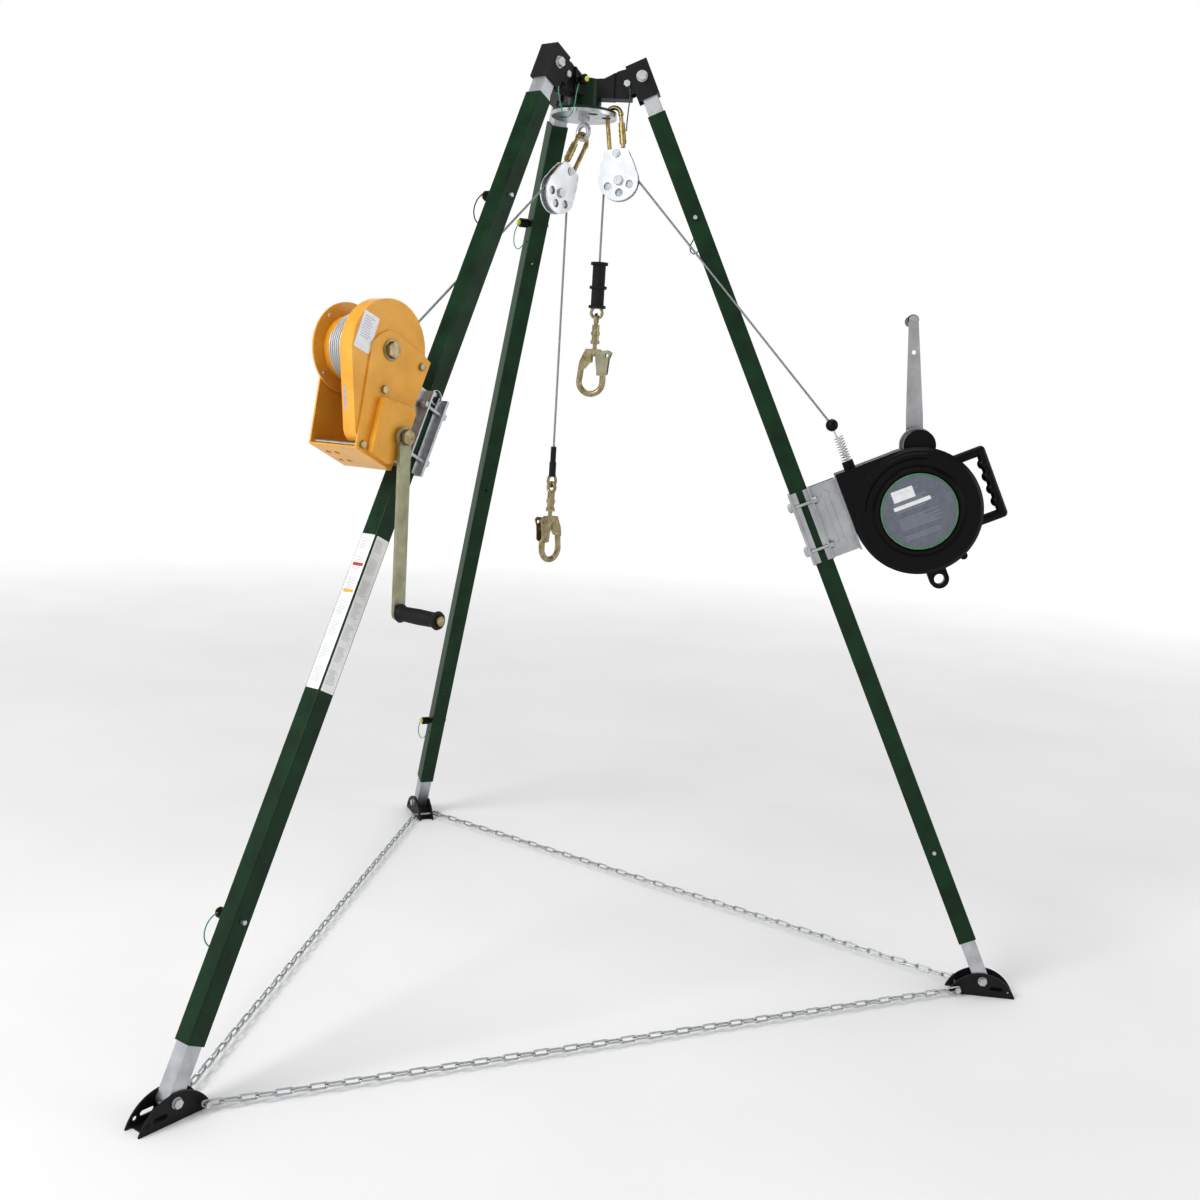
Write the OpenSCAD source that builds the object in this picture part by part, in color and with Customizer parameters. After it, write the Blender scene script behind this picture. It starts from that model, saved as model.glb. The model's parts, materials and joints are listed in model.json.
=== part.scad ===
/* [Tripod] */
// Angle of each leg from the vertical in degrees
leg_angle = 25; // [22:0.5:28]
// Length of each outer leg tube
main_len = 2078; // [1900:1:2200]
// Upper tube showing between the head pivot and the outer tube
upper_show = 88; // [80:1:120]
// Lower tube showing between the outer tube and the foot pivot
lower_show = 104; // [90:1:160]
// Radius of the circle of the head pivots
head_r = 130; // [126:1:145]
// Height of the foot pivots above the ground
foot_h = 38; // [36:1:46]

/* [Tubes] */
// Side of the square outer tube
tube_w = 42; // [40:0.5:46]
// Wall of every tube
tube_wall = 3; // [2.5:0.1:3.5]
// Sliding gap between the tubes on each side
slide_gap = 0.3; // [0.25:0.05:0.4]
// Diameter of the locking pins
pin_d = 9.5; // [8:0.5:11]
// Spacing of the pin holes
hole_pitch = 50; // [45:1:55]
// Distance of the upper locking pin down the leg
upper_pin_s = 335; // [300:1:380]
// Distance of the lower locking pin down the leg
lower_pin_s = 1928; // [1850:1:1950]

/* [Head] */
// Radius of the round head plate
plate_r = 75; // [73:0.5:80]
// Thickness of the head plate
plate_h = 14; // [10:0.5:16]
// Drop from the head pivots to the underside of the head plate
plate_drop = 91; // [88:1:100]
// Radius of the head pivot bolts
pivot_r = 6; // [5:0.5:7]

/* [Rigging] */
// Diameter of the wire lines
line_d = 5; // [4:0.2:6]
// Radius of the line on its sheave
sheave_r = 34; // [30:1:38]
// Angle of each line's plane behind its leg in degrees
line_toe = 4.7; // [4.6:0.1:5]
// Length of each carabiner
carabiner_len = 122; // [116:1:130]
// Height of the winch line's end above the ground
winch_end_z = 1253; // [1150:1:1400]
// Height of the retriever line's end above the ground
retriever_end_z = 1683; // [1600:1:1720]

/* [Winch] */
// Distance of the drum axle out from the leg axis
drum_n = 190; // [186:1:196]
// Distance of the drum axle down the leg
drum_s = 810; // [760:1:860]
// Radius of the drum flange
drum_r = 90; // [86:1:92]
// Gear module of the winch
gear_m = 3; // [2.9:0.05:3.05]
// Length of the crank arm
crank_len = 350; // [320:1:380]
// Length of the crank grip
grip_len = 108; // [90:1:120]

/* [Retriever] */
// Distance of the housing centre out from the leg axis
case_n = 236; // [232:1:242]
// Distance of the housing centre down the leg
case_s = 1138; // [1100:1:1200]
// Radius of the housing
case_r = 144; // [138:1:146]
// Depth of the housing
case_d = 88; // [84:1:94]
// Length of the folding crank arm
arm_len = 286; // [260:1:300]

/* [Chain] */
// Wire diameter of the chain
chain_wire = 4.5; // [4:0.1:5]
// Links in each run of chain, an odd number
chain_links = 53; // [47:2:57]

/* [Hidden] */
$fn = 48;

// Leg azimuths
az_left = 210;
az_right = 330;
az_back = 90;
leg_len = upper_show + main_len + lower_show;
pivot_z = foot_h + leg_len * cos(leg_angle);
foot_r = head_r + leg_len * sin(leg_angle);
inner_w = tube_w - 2 * tube_wall - 2 * slide_gap;
upper_end = upper_pin_s + 6 * hole_pitch + 35;
lower_top = lower_pin_s - 6 * hole_pitch - 35;
main_end = upper_show + main_len;
run = 0.05;
half_in = inner_w / 2;
half_out = tube_w / 2;
plate_z = pivot_z - plate_drop;

// A point in a leg's plane from its distance out, distance down the leg and distance along the tangent
function leg_rz(n, s) = [head_r + n * cos(leg_angle) + s * sin(leg_angle),
  pivot_z + n * sin(leg_angle) - s * cos(leg_angle)];
function leg_xyz(az, n, t, s) = let (q = leg_rz(n, s))
  [q[0] * cos(az) - t * sin(az), q[0] * sin(az) + t * cos(az), q[1]];
function unit(v) = v / norm(v);
function turn(v, a) = [v[0] * cos(a) - v[1] * sin(a), v[0] * sin(a) + v[1] * cos(a)];

// Rigging points in each line's own vertical plane, radius then height
bend_r = 16;
wire_r = 5;
bend_z = carabiner_len / 2 - bend_r - wire_r;
hang_pin = 60;
hang_len = 2 * (bend_z + bend_r) - 2 * wire_r - 5.5 - 5;
winch_tilt = 30;
retriever_tilt = 8;
ring_z = plate_z - 31;
ring_r = 16;
winch_hang = [0, ring_z - ring_r];
retriever_hang = [plate_r - 6, plate_z + plate_h - 0.5];
winch_c = winch_hang + (hang_len + hang_pin) * [sin(winch_tilt), -cos(winch_tilt)];
retriever_c = retriever_hang + (hang_len + hang_pin) * [sin(retriever_tilt), -cos(retriever_tilt)];
wind_r = 67.5;
drum_c = leg_rz(drum_n, drum_s);
ball_n = 125;
ball_s = case_s - 250;
ball_c = leg_rz(ball_n, ball_s);
winch_az = az_left - line_toe;
retriever_az = az_right - line_toe;
line_r = line_d / 2;

// Straight run from the winch drum to its sheave: the line crosses from one side to the other
w_gap = drum_c - winch_c;
w_dir = turn(unit(w_gap), asin((sheave_r + wind_r) / norm(w_gap)) * -1);
w_off = turn(w_dir, 90);
winch_p1 = winch_c + sheave_r * w_off;
winch_p2 = drum_c - wind_r * w_off;

// Straight run from the ball stop to the retriever sheave
r_gap = ball_c - retriever_c;
r_dir = turn(unit(r_gap), -asin(sheave_r / norm(r_gap)));
r_off = turn(r_dir, 90);
retriever_p1 = retriever_c + sheave_r * r_off;

// Gear train of the winch
t_gear = 56;
t_idler = 22;
t_pinion = 12;
train = gear_m * (t_gear + 2 * t_idler + t_pinion) / 2;
train_dir = unit([-88, 143]);
crank_n = drum_n + train * train_dir[0];
crank_s = drum_s + train * train_dir[1];
idler_n = drum_n + gear_m * (t_gear + t_idler) / 2 * train_dir[0];
idler_s = drum_s + gear_m * (t_gear + t_idler) / 2 * train_dir[1];
train_a = atan2(-train_dir[1], train_dir[0]);
t_near = 56;
t_far = -74;
web_n = half_out + 60;
frame_l = train + 40;

// Chain geometry on each side of the triangle of feet
chain_x = -58;
chain_t = 32;
chain_z = foot_h - 22;
chain_bolt_r = 3;
chain_a = 2 * ((foot_r + chain_x) * sin(60) - chain_t * cos(60));
chain_seat = (chain_bolt_r + chain_wire / 2 + 0.15) / cos(30) - chain_wire / 2 - 0.25;
chain_p = (chain_a + 2 * chain_seat) / chain_links;
chain_hi = (chain_p + 0.5) / 2;
chain_wi = 3.5;

leg_green = [0.12, 0.29, 0.18];
black = [0.06, 0.06, 0.065];
alu = [0.75, 0.76, 0.77];
zinc = [0.66, 0.67, 0.68];
gold = [0.72, 0.58, 0.3];
yellow = [0.9, 0.68, 0.28];
olive = [0.64, 0.64, 0.53];
cord_green = [0.27, 0.63, 0.5];
button = [0.78, 0.8, 0.27];

// Frame of one leg: X out from the leg, Y along the tangent, Z up the leg, origin at the head pivot
module leg(az)
  rotate([0, 0, az])
    translate([head_r, 0, pivot_z])
      rotate([0, -leg_angle, 0])
        children();

// Frame of one foot: X out, Y along the tangent, Z up, origin at the foot pivot
module foot_frame(az)
  rotate([0, 0, az])
    translate([foot_r, 0, foot_h])
      children();

// Round bar along the tangent of a leg
module tcyl(n, s, t0, t1, r)
  translate([n, t1, -s])
    rotate([90, 0, 0])
      cylinder(h = t1 - t0, r = r);

// Flat shape drawn out and up the leg, thick along the tangent
module tplate(t0, t1)
  translate([0, t1, 0])
    rotate([90, 0, 0])
      linear_extrude(t1 - t0)
        children();

// Box in a leg's frame from its limits
module lbox(n0, n1, t0, t1, s0, s1)
  translate([n0, t0, -s1])
    cube([n1 - n0, t1 - t0, s1 - s0]);

// Square with round corners
module rsq(w, r) {
  square([w, w - 2 * r], center = true);
  square([w - 2 * r, w], center = true);
  for (x = [-1, 1], y = [-1, 1])
    translate([x * (w / 2 - r), y * (w / 2 - r)])
      circle(r = r);
}

// Round rod between two points
module rod(a, b, r) {
  v = b - a;
  translate(a)
    rotate([0, acos(v[2] / norm(v)), atan2(v[1], v[0])])
      cylinder(h = norm(v), r = r);
}

// Hexagon nut or bolt head along the tangent
module hex(n, s, t0, t1, r)
  translate([n, t1, -s])
    rotate([90, 0, 0])
      cylinder(h = t1 - t0, r = r, $fn = 6);

// Tube swept along points, with six or eight sides
module sweep(pts, r, sides) {
  n = len(pts);
  dirs = [for (i = [0 : n - 1]) unit(pts[min(i + 1, n - 1)] - pts[max(i - 1, 0)])];
  side = [for (i = [0 : n - 1]) unit(cross(abs(dirs[0][2]) < 0.85 ? [0, 0, 1] : [1, 0.2, 0], dirs[i]))];
  up = [for (i = [0 : n - 1]) cross(dirs[i], side[i])];
  ring = [for (i = [0 : n - 1], k = [0 : sides - 1])
    pts[i] + r * (cos(360 * k / sides) * side[i] + sin(360 * k / sides) * up[i])];
  walls = [for (i = [0 : n - 2], k = [0 : sides - 1])
    [i * sides + k, (i + 1) * sides + k, (i + 1) * sides + (k + 1) % sides, i * sides + (k + 1) % sides]];
  ends = [[for (k = [0 : sides - 1]) k], [for (k = [0 : sides - 1]) n * sides - 1 - k]];
  polyhedron(points = ring, faces = concat(walls, ends), convexity = 6);
}

// Involute gear outline
function inv_a(r, rb) = let (c = acos(min(1, rb / r))) tan(c) * 180 / PI - c;
function gear_pts(z, m, add, ded, back) = let (
    rp = m * z / 2, rb = rp * cos(20), ra = rp + add * m, rf = rp - ded * m,
    half = 90 / z - back / rp * 90 / PI + inv_a(rp, rb),
    r0 = max(rb, rf + 0.2))
  [for (i = [0 : z - 1]) let (a = 360 * i / z) each concat(
    [[rf * cos(a - half), rf * sin(a - half)]],
    [for (k = [0 : 4]) let (r = r0 + (ra - r0) * k / 4, b = a - half + inv_a(r, rb))
      [r * cos(b), r * sin(b)]],
    [for (k = [4 : -1 : 0]) let (r = r0 + (ra - r0) * k / 4, b = a + half - inv_a(r, rb))
      [r * cos(b), r * sin(b)]],
    [[rf * cos(a + half), rf * sin(a + half)]])];

module gear2d(z)
  polygon(gear_pts(z, gear_m, 0.75, 1, 0.3));

// Round plate of the head with a bore for the eye bolt, a rigging hole and spare anchor holes
module head_plate()
  color(alu)
    translate([0, 0, plate_z])
      difference() {
        union() {
          cylinder(h = plate_h * 0.6, r = plate_r, $fn = 96);
          cylinder(h = plate_h, r = plate_r - 1.2, $fn = 96);
        }
        translate([0, 0, -1])
          cylinder(h = plate_h + 2, r = 8);
        for (a = [retriever_az, az_left + 60, az_back + 60])
          rotate([0, 0, a])
            translate([plate_r - 23, 0, -1])
              cylinder(h = plate_h + 2, r = 11);
      }

// Hub and three arms that carry the clevises, each with a tongue drilled for a screw
arm_drop = 50;
screw_r = 5;
arm_screws = [[-37, 2]];
module head_arms()
  color(leg_green) {
    difference() {
      union() {
        translate([0, 0, plate_z + plate_h])
          cylinder(h = plate_drop - plate_h - 10, r = 38, $fn = 64);
        for (a = [az_left, az_right, az_back])
          rotate([0, 0, a])
            translate([0, half_in + 5.3, pivot_z])
              rotate([90, 0, 0])
                linear_extrude(2 * half_in + 10.6)
                  polygon([[10, -arm_drop], [head_r - 22, -arm_drop], [head_r - 22, -9], [head_r - 34, 16],
                    [head_r - 54, 10], [head_r - 70, 0], [head_r - 86, -8], [10, -10]]);
      }
      translate([0, 0, plate_z + plate_h - 1])
        cylinder(h = 34, r = 18);
      for (a = [az_left, az_right, az_back])
        rotate([0, 0, a])
          for (y = [-1, 1])
            translate([head_r - 62, y > 0 ? half_in + 0.3 : -half_in - 8.3, pivot_z - arm_drop - 1])
              cube([80, 8, 120]);
      for (a = [az_left, az_right, az_back], p = arm_screws)
        leg(a)
          tcyl(p[0], p[1], -30, 30, screw_r);
    }
  }

// Three clevis boxes: two cheeks that reach back over the arm's tongue, an outer stop wall and a cap
module leg_clevises()
  color(black)
    for (a = [az_left, az_right, az_back])
      leg(a)
        difference() {
          union() {
            lbox(-28, half_in + 5.5, -half_in - 5.5, half_in + 5.5, -34, 48);
            lbox(-45, -27, -half_in - 5.5, half_in + 5.5, -24, 26);
          }
          lbox(-60, half_in + 0.4, -half_in - 0.5, half_in + 0.5, -30, 60);
          tcyl(0, 0, -30, 30, pivot_r);
          for (p = arm_screws)
            tcyl(p[0], p[1], -30, 30, screw_r);
        }

// Pivot bolts, arm screws, sheave axles and pulley pins
module head_fasteners()
  color(zinc) {
    for (a = [az_left, az_right, az_back])
      leg(a) {
        tcyl(0, 0, -half_in - 6.5, half_in + 6.5, pivot_r);
        tcyl(0, 0, half_in + 5.5, half_in + 7.3, 13);
        tcyl(0, 0, -half_in - 7.3, -half_in - 5.5, 13);
        hex(0, 0, half_in + 7.3, half_in + 15.3, 11);
        hex(0, 0, -half_in - 15.3, -half_in - 7.3, 11);
        for (p = arm_screws) {
          tcyl(p[0], p[1], -half_in - 6, half_in + 6, screw_r);
          hex(p[0], p[1], half_in + 5.5, half_in + 10.5, 8);
          hex(p[0], p[1], -half_in - 10.5, -half_in - 5.5, 8);
        }
      }
    for (c = [[winch_az, winch_c, winch_tilt], [retriever_az, retriever_c, retriever_tilt]])
      hung(c[0], c[1], c[2]) {
        tcyl(0, 0, -17, 17, 6);
        hex(0, 0, 11, 17, 11);
        hex(0, 0, -17, -11, 11);
        tcyl(0, -hang_pin, -15, 15, 5);
        tcyl(0, -hang_pin, 11, 14, 9);
        tcyl(0, -hang_pin, -14, -11, 9);
      }
  }

// Frame of one hanging pulley: X out, Y along the tangent, Z up the pulley, origin at the axle
module hung(az, c, tilt)
  rotate([0, 0, az])
    translate([c[0], 0, c[1]])
      rotate([0, -tilt, 0])
        children();

// Eye bolt under the head plate
module eye_bolt()
  color(zinc) {
    rotate([0, 0, winch_az]) {
      translate([0, 0, ring_z])
        rotate([0, 90, 0])
          rotate_extrude()
            translate([ring_r, 0])
              circle(r = 5.5);
      translate([0, 0, ring_z + ring_r])
        cylinder(h = plate_z + plate_h + 18 - ring_z - ring_r, r = 7.9);
      translate([0, 0, plate_z - 7])
        cylinder(h = 7, r = 13);
    }
    translate([0, 0, plate_z + plate_h])
      cylinder(h = 12, r = 14, $fn = 6);
  }

// Half of a carabiner bend
module half_ring(r, w, a0, a1)
  rotate([90, 0, 0])
    rotate([0, 0, a0])
      rotate_extrude(angle = a1 - a0)
        translate([r, 0])
          circle(r = w);

// Carabiner body without its gate, opening on the outer side
module carabiner() {
  translate([0, 0, bend_z])
    half_ring(bend_r, wire_r, 1, 179);
  translate([0, 0, -bend_z])
    half_ring(bend_r, wire_r, 181, 359);
  translate([-bend_r, 0, -bend_z + 0.3])
    cylinder(h = 2 * bend_z - 0.6, r = wire_r);
  for (x = [-bend_r, bend_r], z = [bend_z - 3, -bend_z - 3])
    translate([x, 0, z])
      cylinder(h = 6, r = wire_r + 1);
}

// Frame of one carabiner, origin at its middle
module caught(az, hang, tilt)
  rotate([0, 0, az])
    translate([hang[0], 0, hang[1]])
      rotate([0, -tilt, 0])
        translate([0, 0, -(bend_z + bend_r - wire_r - 5.5)])
          children();

module carabiners()
  color(gold) {
    caught(winch_az, winch_hang, winch_tilt)
      carabiner();
    caught(retriever_az, retriever_hang, retriever_tilt)
      carabiner();
  }

// Gate with its locking sleeve, hinged at the lower end
module gate() {
  translate([bend_r, 0, -bend_z + 8])
    cylinder(h = 2 * bend_z - 11.4, r = 4.6);
  translate([bend_r, 0, -bend_z + 8])
    sphere(r = 4.6);
  translate([bend_r, 0, -bend_z + 14])
    cylinder(h = 46, r = 7.5);
  for (z = [18, 30, 42])
    translate([bend_r, 0, -bend_z + z])
      cylinder(h = 4, r = 8.2);
  translate([bend_r, 6.2, -bend_z + 8])
    rotate([90, 0, 0])
      cylinder(h = 12.4, r = 1.6);
}

module winch_carabiner_gate()
  color(gold)
    caught(winch_az, winch_hang, winch_tilt)
      gate();

module retriever_carabiner_gate()
  color(gold)
    caught(retriever_az, retriever_hang, retriever_tilt)
      gate();

// One shield-shaped pulley cheek with two horns and lightening holes
module cheek(t0, t1)
  difference() {
    tplate(t0, t1)
      difference() {
        union() {
          circle(r = 46, $fn = 96);
          polygon([[-45, -6], [45, -6], [43.5, 12], [38, 36], [30, hang_pin - 2], [-30, hang_pin - 2],
            [-38, 36], [-43.5, 12]]);
          for (x = [-19, 19])
            translate([x, hang_pin - 2])
              circle(r = 11);
          translate([-19, 0])
            square([38, hang_pin + 9]);
        }
        translate([0, hang_pin + 17])
          circle(r = 11.5);
        for (a = [205, 270, 335])
          rotate([0, 0, a])
            translate([28, 0])
              circle(r = 9);
      }
    tcyl(0, 0, t0 - 1, t1 + 1, 6);
    tcyl(0, -hang_pin, t0 - 1, t1 + 1, 5);
  }

module pulley_cheeks()
  color(alu)
    for (c = [[winch_az, winch_c, winch_tilt], [retriever_az, retriever_c, retriever_tilt]])
      hung(c[0], c[1], c[2]) {
        cheek(7, 11);
        cheek(-11, -7);
      }

// Grooved sheave
module sheave()
  rotate([90, 0, 0])
    difference() {
      rotate_extrude($fn = 96)
        difference() {
          translate([6 + run, -6])
            square([sheave_r + 5 - 6 - run, 12]);
          translate([sheave_r + 1.5, 0])
            circle(r = 4.5);
        }
      for (a = [0 : 60 : 300])
        rotate([0, 0, a])
          translate([18, 0, -7])
            cylinder(h = 14, r = 4);
    }

module winch_sheave()
  color(alu)
    hung(winch_az, winch_c, winch_tilt)
      sheave();

module retriever_sheave()
  color(alu)
    hung(retriever_az, retriever_c, retriever_tilt)
      sheave();

// Upper leg tube with a round solid end on the head pivot and a row of pin holes
module upper_tube(az)
  color(alu)
    leg(az)
      difference() {
        union() {
          translate([0, 0, -upper_end])
            linear_extrude(upper_end)
              rsq(inner_w, 2);
          tcyl(0, 0, -inner_w / 2, inner_w / 2, inner_w / 2);
        }
        translate([0, 0, -upper_end - 1])
          linear_extrude(upper_end - 29)
            square(inner_w - 2 * tube_wall, center = true);
        tcyl(0, 0, -40, 40, pivot_r + run);
        for (k = [0 : 6])
          tcyl(0, upper_pin_s + k * hole_pitch, -40, 40, pin_d / 2 + run);
      }

// Outer leg tube with two pin holes and three small holes on its inner face
module main_tube(az)
  color(leg_green)
    leg(az)
      difference() {
        translate([0, 0, -main_end])
          linear_extrude(main_len)
            difference() {
              rsq(tube_w, 3);
              square(tube_w - 2 * tube_wall, center = true);
            }
        for (s = [upper_pin_s, lower_pin_s])
          tcyl(0, s, -40, 40, pin_d / 2 + run);
        for (k = [0.165, 0.482, 0.83])
          translate([-tube_w / 2 - 1, 0, -upper_show - k * main_len])
            rotate([0, 90, 0])
              cylinder(h = tube_wall + 2, r = 3.5);
      }

// Lower leg tube with a round solid end on the foot pivot
module lower_tube(az)
  color(alu)
    leg(az)
      difference() {
        union() {
          translate([0, 0, -leg_len])
            linear_extrude(leg_len - lower_top)
              rsq(inner_w, 2);
          tcyl(0, leg_len, -inner_w / 2, inner_w / 2, inner_w / 2);
        }
        translate([0, 0, -leg_len + 30])
          linear_extrude(leg_len - lower_top)
            square(inner_w - 2 * tube_wall, center = true);
        tcyl(0, leg_len, -40, 40, pivot_r + run);
        for (k = [0 : 6])
          tcyl(0, lower_pin_s - k * hole_pitch, -40, 40, pin_d / 2 + run);
      }

// Side plate of a foot: an arched plate with a slot and a hole
foot_arc = 85;
foot_y = half_in + 2.7;
foot_out = foot_y + 2;
module foot_side(y)
  translate([0, y + 2, 0])
    rotate([90, 0, 0])
      linear_extrude(4)
        difference() {
          intersection() {
            translate([0, 18 - foot_arc])
              circle(r = foot_arc, $fn = 128);
            translate([-90, -foot_h])
              square([180, foot_h + 20]);
          }
          translate([34, -18])
            square([20, 11], center = true);
          translate([24, -18])
            circle(r = 5.5);
          translate([44, -18])
            circle(r = 5.5);
          translate([60, -22])
            circle(r = 5);
        }

// Foot: two arched plates on a sole, with the pivot bolt and the chain bolt as separate solids
module foot(az)
  foot_frame(az) {
    color(black)
      difference() {
        union() {
          foot_side(-foot_y);
          foot_side(foot_y);
          translate([-66, -foot_out, -foot_h])
            cube([132, 2 * foot_out, 4]);
        }
        translate([0, 30, 0])
          rotate([90, 0, 0])
            cylinder(h = 60, r = pivot_r + run);
        translate([chain_x, 30, chain_z - foot_h])
          rotate([90, 0, 0])
            cylinder(h = 60, r = chain_bolt_r + run);
      }
    color(zinc) {
      tcyl(0, 0, -foot_out - 1.6, foot_out + 1.6, pivot_r);
      tcyl(0, 0, foot_out + run, foot_out + 1.6, 11);
      tcyl(0, 0, -foot_out - 1.6, -foot_out - run, 11);
      hex(0, 0, foot_out + 1.6, foot_out + 8.6, 10);
      hex(0, 0, -foot_out - 8.6, -foot_out - 1.6, 10);
      tcyl(chain_x, foot_h - chain_z, -44, 44, chain_bolt_r);
      tcyl(chain_x, foot_h - chain_z, 41, 44, 7);
      tcyl(chain_x, foot_h - chain_z, -44, -41, 7);
    }
  }

// Locking pin through a tube, its head on the side given by d
module lock_pin(az, s, d)
  leg(az)
    mirror([0, d > 0 ? 0 : 1, 0]) {
      color(zinc) {
        tcyl(0, s, -tube_w / 2 - 8, tube_w / 2 + 2, pin_d / 2);
      }
      color(black) {
        tcyl(0, s, tube_w / 2 + 1, tube_w / 2 + 6, 8);
        tcyl(0, s, tube_w / 2 + 6, tube_w / 2 + 26, 11);
      }
      color(button)
        tcyl(0, s, tube_w / 2 + 26, tube_w / 2 + 33, 6.5);
    }

// Lanyard of a locking pin: a loop from the knob to the tube's side, points out, off the side and down
lanyard_pts = [[12.6, 17, 0], [17, 21, 8], [20, 25, 22], [19, 27, 38], [14, 27, 52], [6, 25, 62],
  [-3, 21, 66],
  [-9, 16, 62], [-10, 11, 54], [-7, 7, 48], [-2, 3, 46], [0, 0.2, 46]];
module lanyard(az, s, d)
  color(cord_green)
    leg(az)
      mirror([0, d > 0 ? 0 : 1, 0])
        sweep([for (p = lanyard_pts) [p[0], half_out + p[1], -s - p[2]]], 1.3, 8);

// One straight link lying along X, flat in the XZ plane
module link()
  union() {
    for (e = [-1, 1])
      translate([e * (chain_hi - chain_wi), 0, 0])
        rotate([90, 0, 0])
          rotate([0, 0, e > 0 ? -90 : 90])
            rotate_extrude(angle = 180, $fn = 24)
              translate([chain_wi + chain_wire / 2, 0])
                circle(r = chain_wire / 2, $fn = 16);
    for (z = [-1, 1])
      translate([-(chain_hi - chain_wi) - 0.01, 0, z * (chain_wi + chain_wire / 2)])
        rotate([0, 90, 0])
          cylinder(h = 2 * (chain_hi - chain_wi) + 0.02, r = chain_wire / 2, $fn = 16);
  }

// One run of chain between two feet, centred at the middle of the side at azimuth az
module chain_run(az)
  color(zinc)
    rotate([0, 0, az])
      translate([(foot_r + chain_x) * cos(60) + chain_t * sin(60), 0, chain_z])
        rotate([0, 0, 90])
          for (i = [0 : chain_links - 1])
            translate([(i - (chain_links - 1) / 2) * chain_p, 0, 0])
              rotate([i % 2 == 0 ? 0 : 90, 0, 0])
                link();

// Clamp on a leg: a channel on the outer face, a bar on the inner face and four rods with nuts
clamp_r = 4;
module clamp(s0, s1, n1, t_end) {
  rib_n = (tube_w / 2 + n1) / 2;
  difference() {
    union() {
      lbox(tube_w / 2, tube_w / 2 + 4, -half_out - 17, half_out + 17, s0, s1);
      for (t = [-18, 14])
        lbox(tube_w / 2 + 4, n1 - 4, t, t + 4, s0, s1);
      lbox(n1 - 4, n1, t_end, 18, s0, s1);
      lbox(-tube_w / 2 - 6, -tube_w / 2, -half_out - 17, half_out + 17, s0, s1);
      for (t = [-half_out - 3.3, half_out + 0.3]) {
        lbox(tube_w / 2 - 12, tube_w / 2 + 2, t, t + 3, s0, s1);
        lbox(-tube_w / 2 - 3, -tube_w / 2 + 14, t, t + 3, s0, s1);
      }
      lbox(rib_n - 7, rib_n + 7, -20, -16, s0 + 30, s1 - 30);
      for (s = [s0 + 28, s1 - 28])
        tcyl(rib_n, s, -21, -16, 10);
    }
    for (s = [s0 + 32, s1 - 32], t = [-half_out - 8, half_out + 8])
      translate([-tube_w, t, -s])
        rotate([0, 90, 0])
          cylinder(h = 2 * tube_w, r = clamp_r + run);
  }
  for (s = [s0 + 32, s1 - 32], t = [-half_out - 8, half_out + 8]) {
    translate([-tube_w / 2 - 16, t, -s])
      rotate([0, 90, 0])
        cylinder(h = tube_w + 32, r = clamp_r);
    for (n = [-tube_w / 2 - 14 - run, tube_w / 2 + 4 + run])
      translate([n, t, -s])
        rotate([0, 90, 0])
          cylinder(h = 8, r = 9, $fn = 6);
  }
}

module winch_clamp()
  color(zinc)
    leg(az_left)
      clamp(drum_s + 5, drum_s + 175, web_n, -18);

// Winch side plate
module winch_side(t0, t1)
  tplate(t0, t1)
    difference() {
      polygon([[drum_n + 50, -drum_s - 10], [drum_n + 40, -drum_s + 12], [drum_n + 22, -drum_s + 32],
        [drum_n, -drum_s + 38], [drum_n - 24, -drum_s + 36], [drum_n - 86, -drum_s + 34],
        [web_n, -drum_s + 30], [web_n, -drum_s - frame_l], [drum_n - 4, -drum_s - frame_l]]);
      translate([drum_n, -drum_s])
        circle(r = 12.05);
      translate([crank_n, -crank_s])
        circle(r = 11.05);
      translate([idler_n, -idler_s])
        circle(r = 8);
    }

// Welded winch frame: two side plates, a back web with a window for the pinion, and a floor with holes
module winch_frame()
  color(yellow)
    leg(az_left)
      difference() {
        union() {
          winch_side(t_near, t_near + 4);
          winch_side(t_far, t_far + 4);
          lbox(web_n, web_n + 4, t_far, t_near + 4, drum_s - 30, drum_s + frame_l);
          lbox(web_n, drum_n - 4, t_far, t_near + 4, drum_s + frame_l - 4, drum_s + frame_l);
        }
        for (n = [112, 150], t = [-52, -28])
          translate([n, t, -drum_s - frame_l - 2])
            cylinder(h = 8, r = 6);
        tcyl(crank_n, crank_s, 24, 44, gear_m * (t_pinion / 2 + 1) + 1);
      }

// Outline of the gear cover
module cover2d(g)
  hull() {
    translate([drum_n, -drum_s])
      circle(r = 98 - g);
    translate([crank_n, -crank_s])
      circle(r = 36 - g);
    translate([drum_n - 20, -drum_s - train + 12])
      circle(r = 36 - g);
  }

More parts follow.
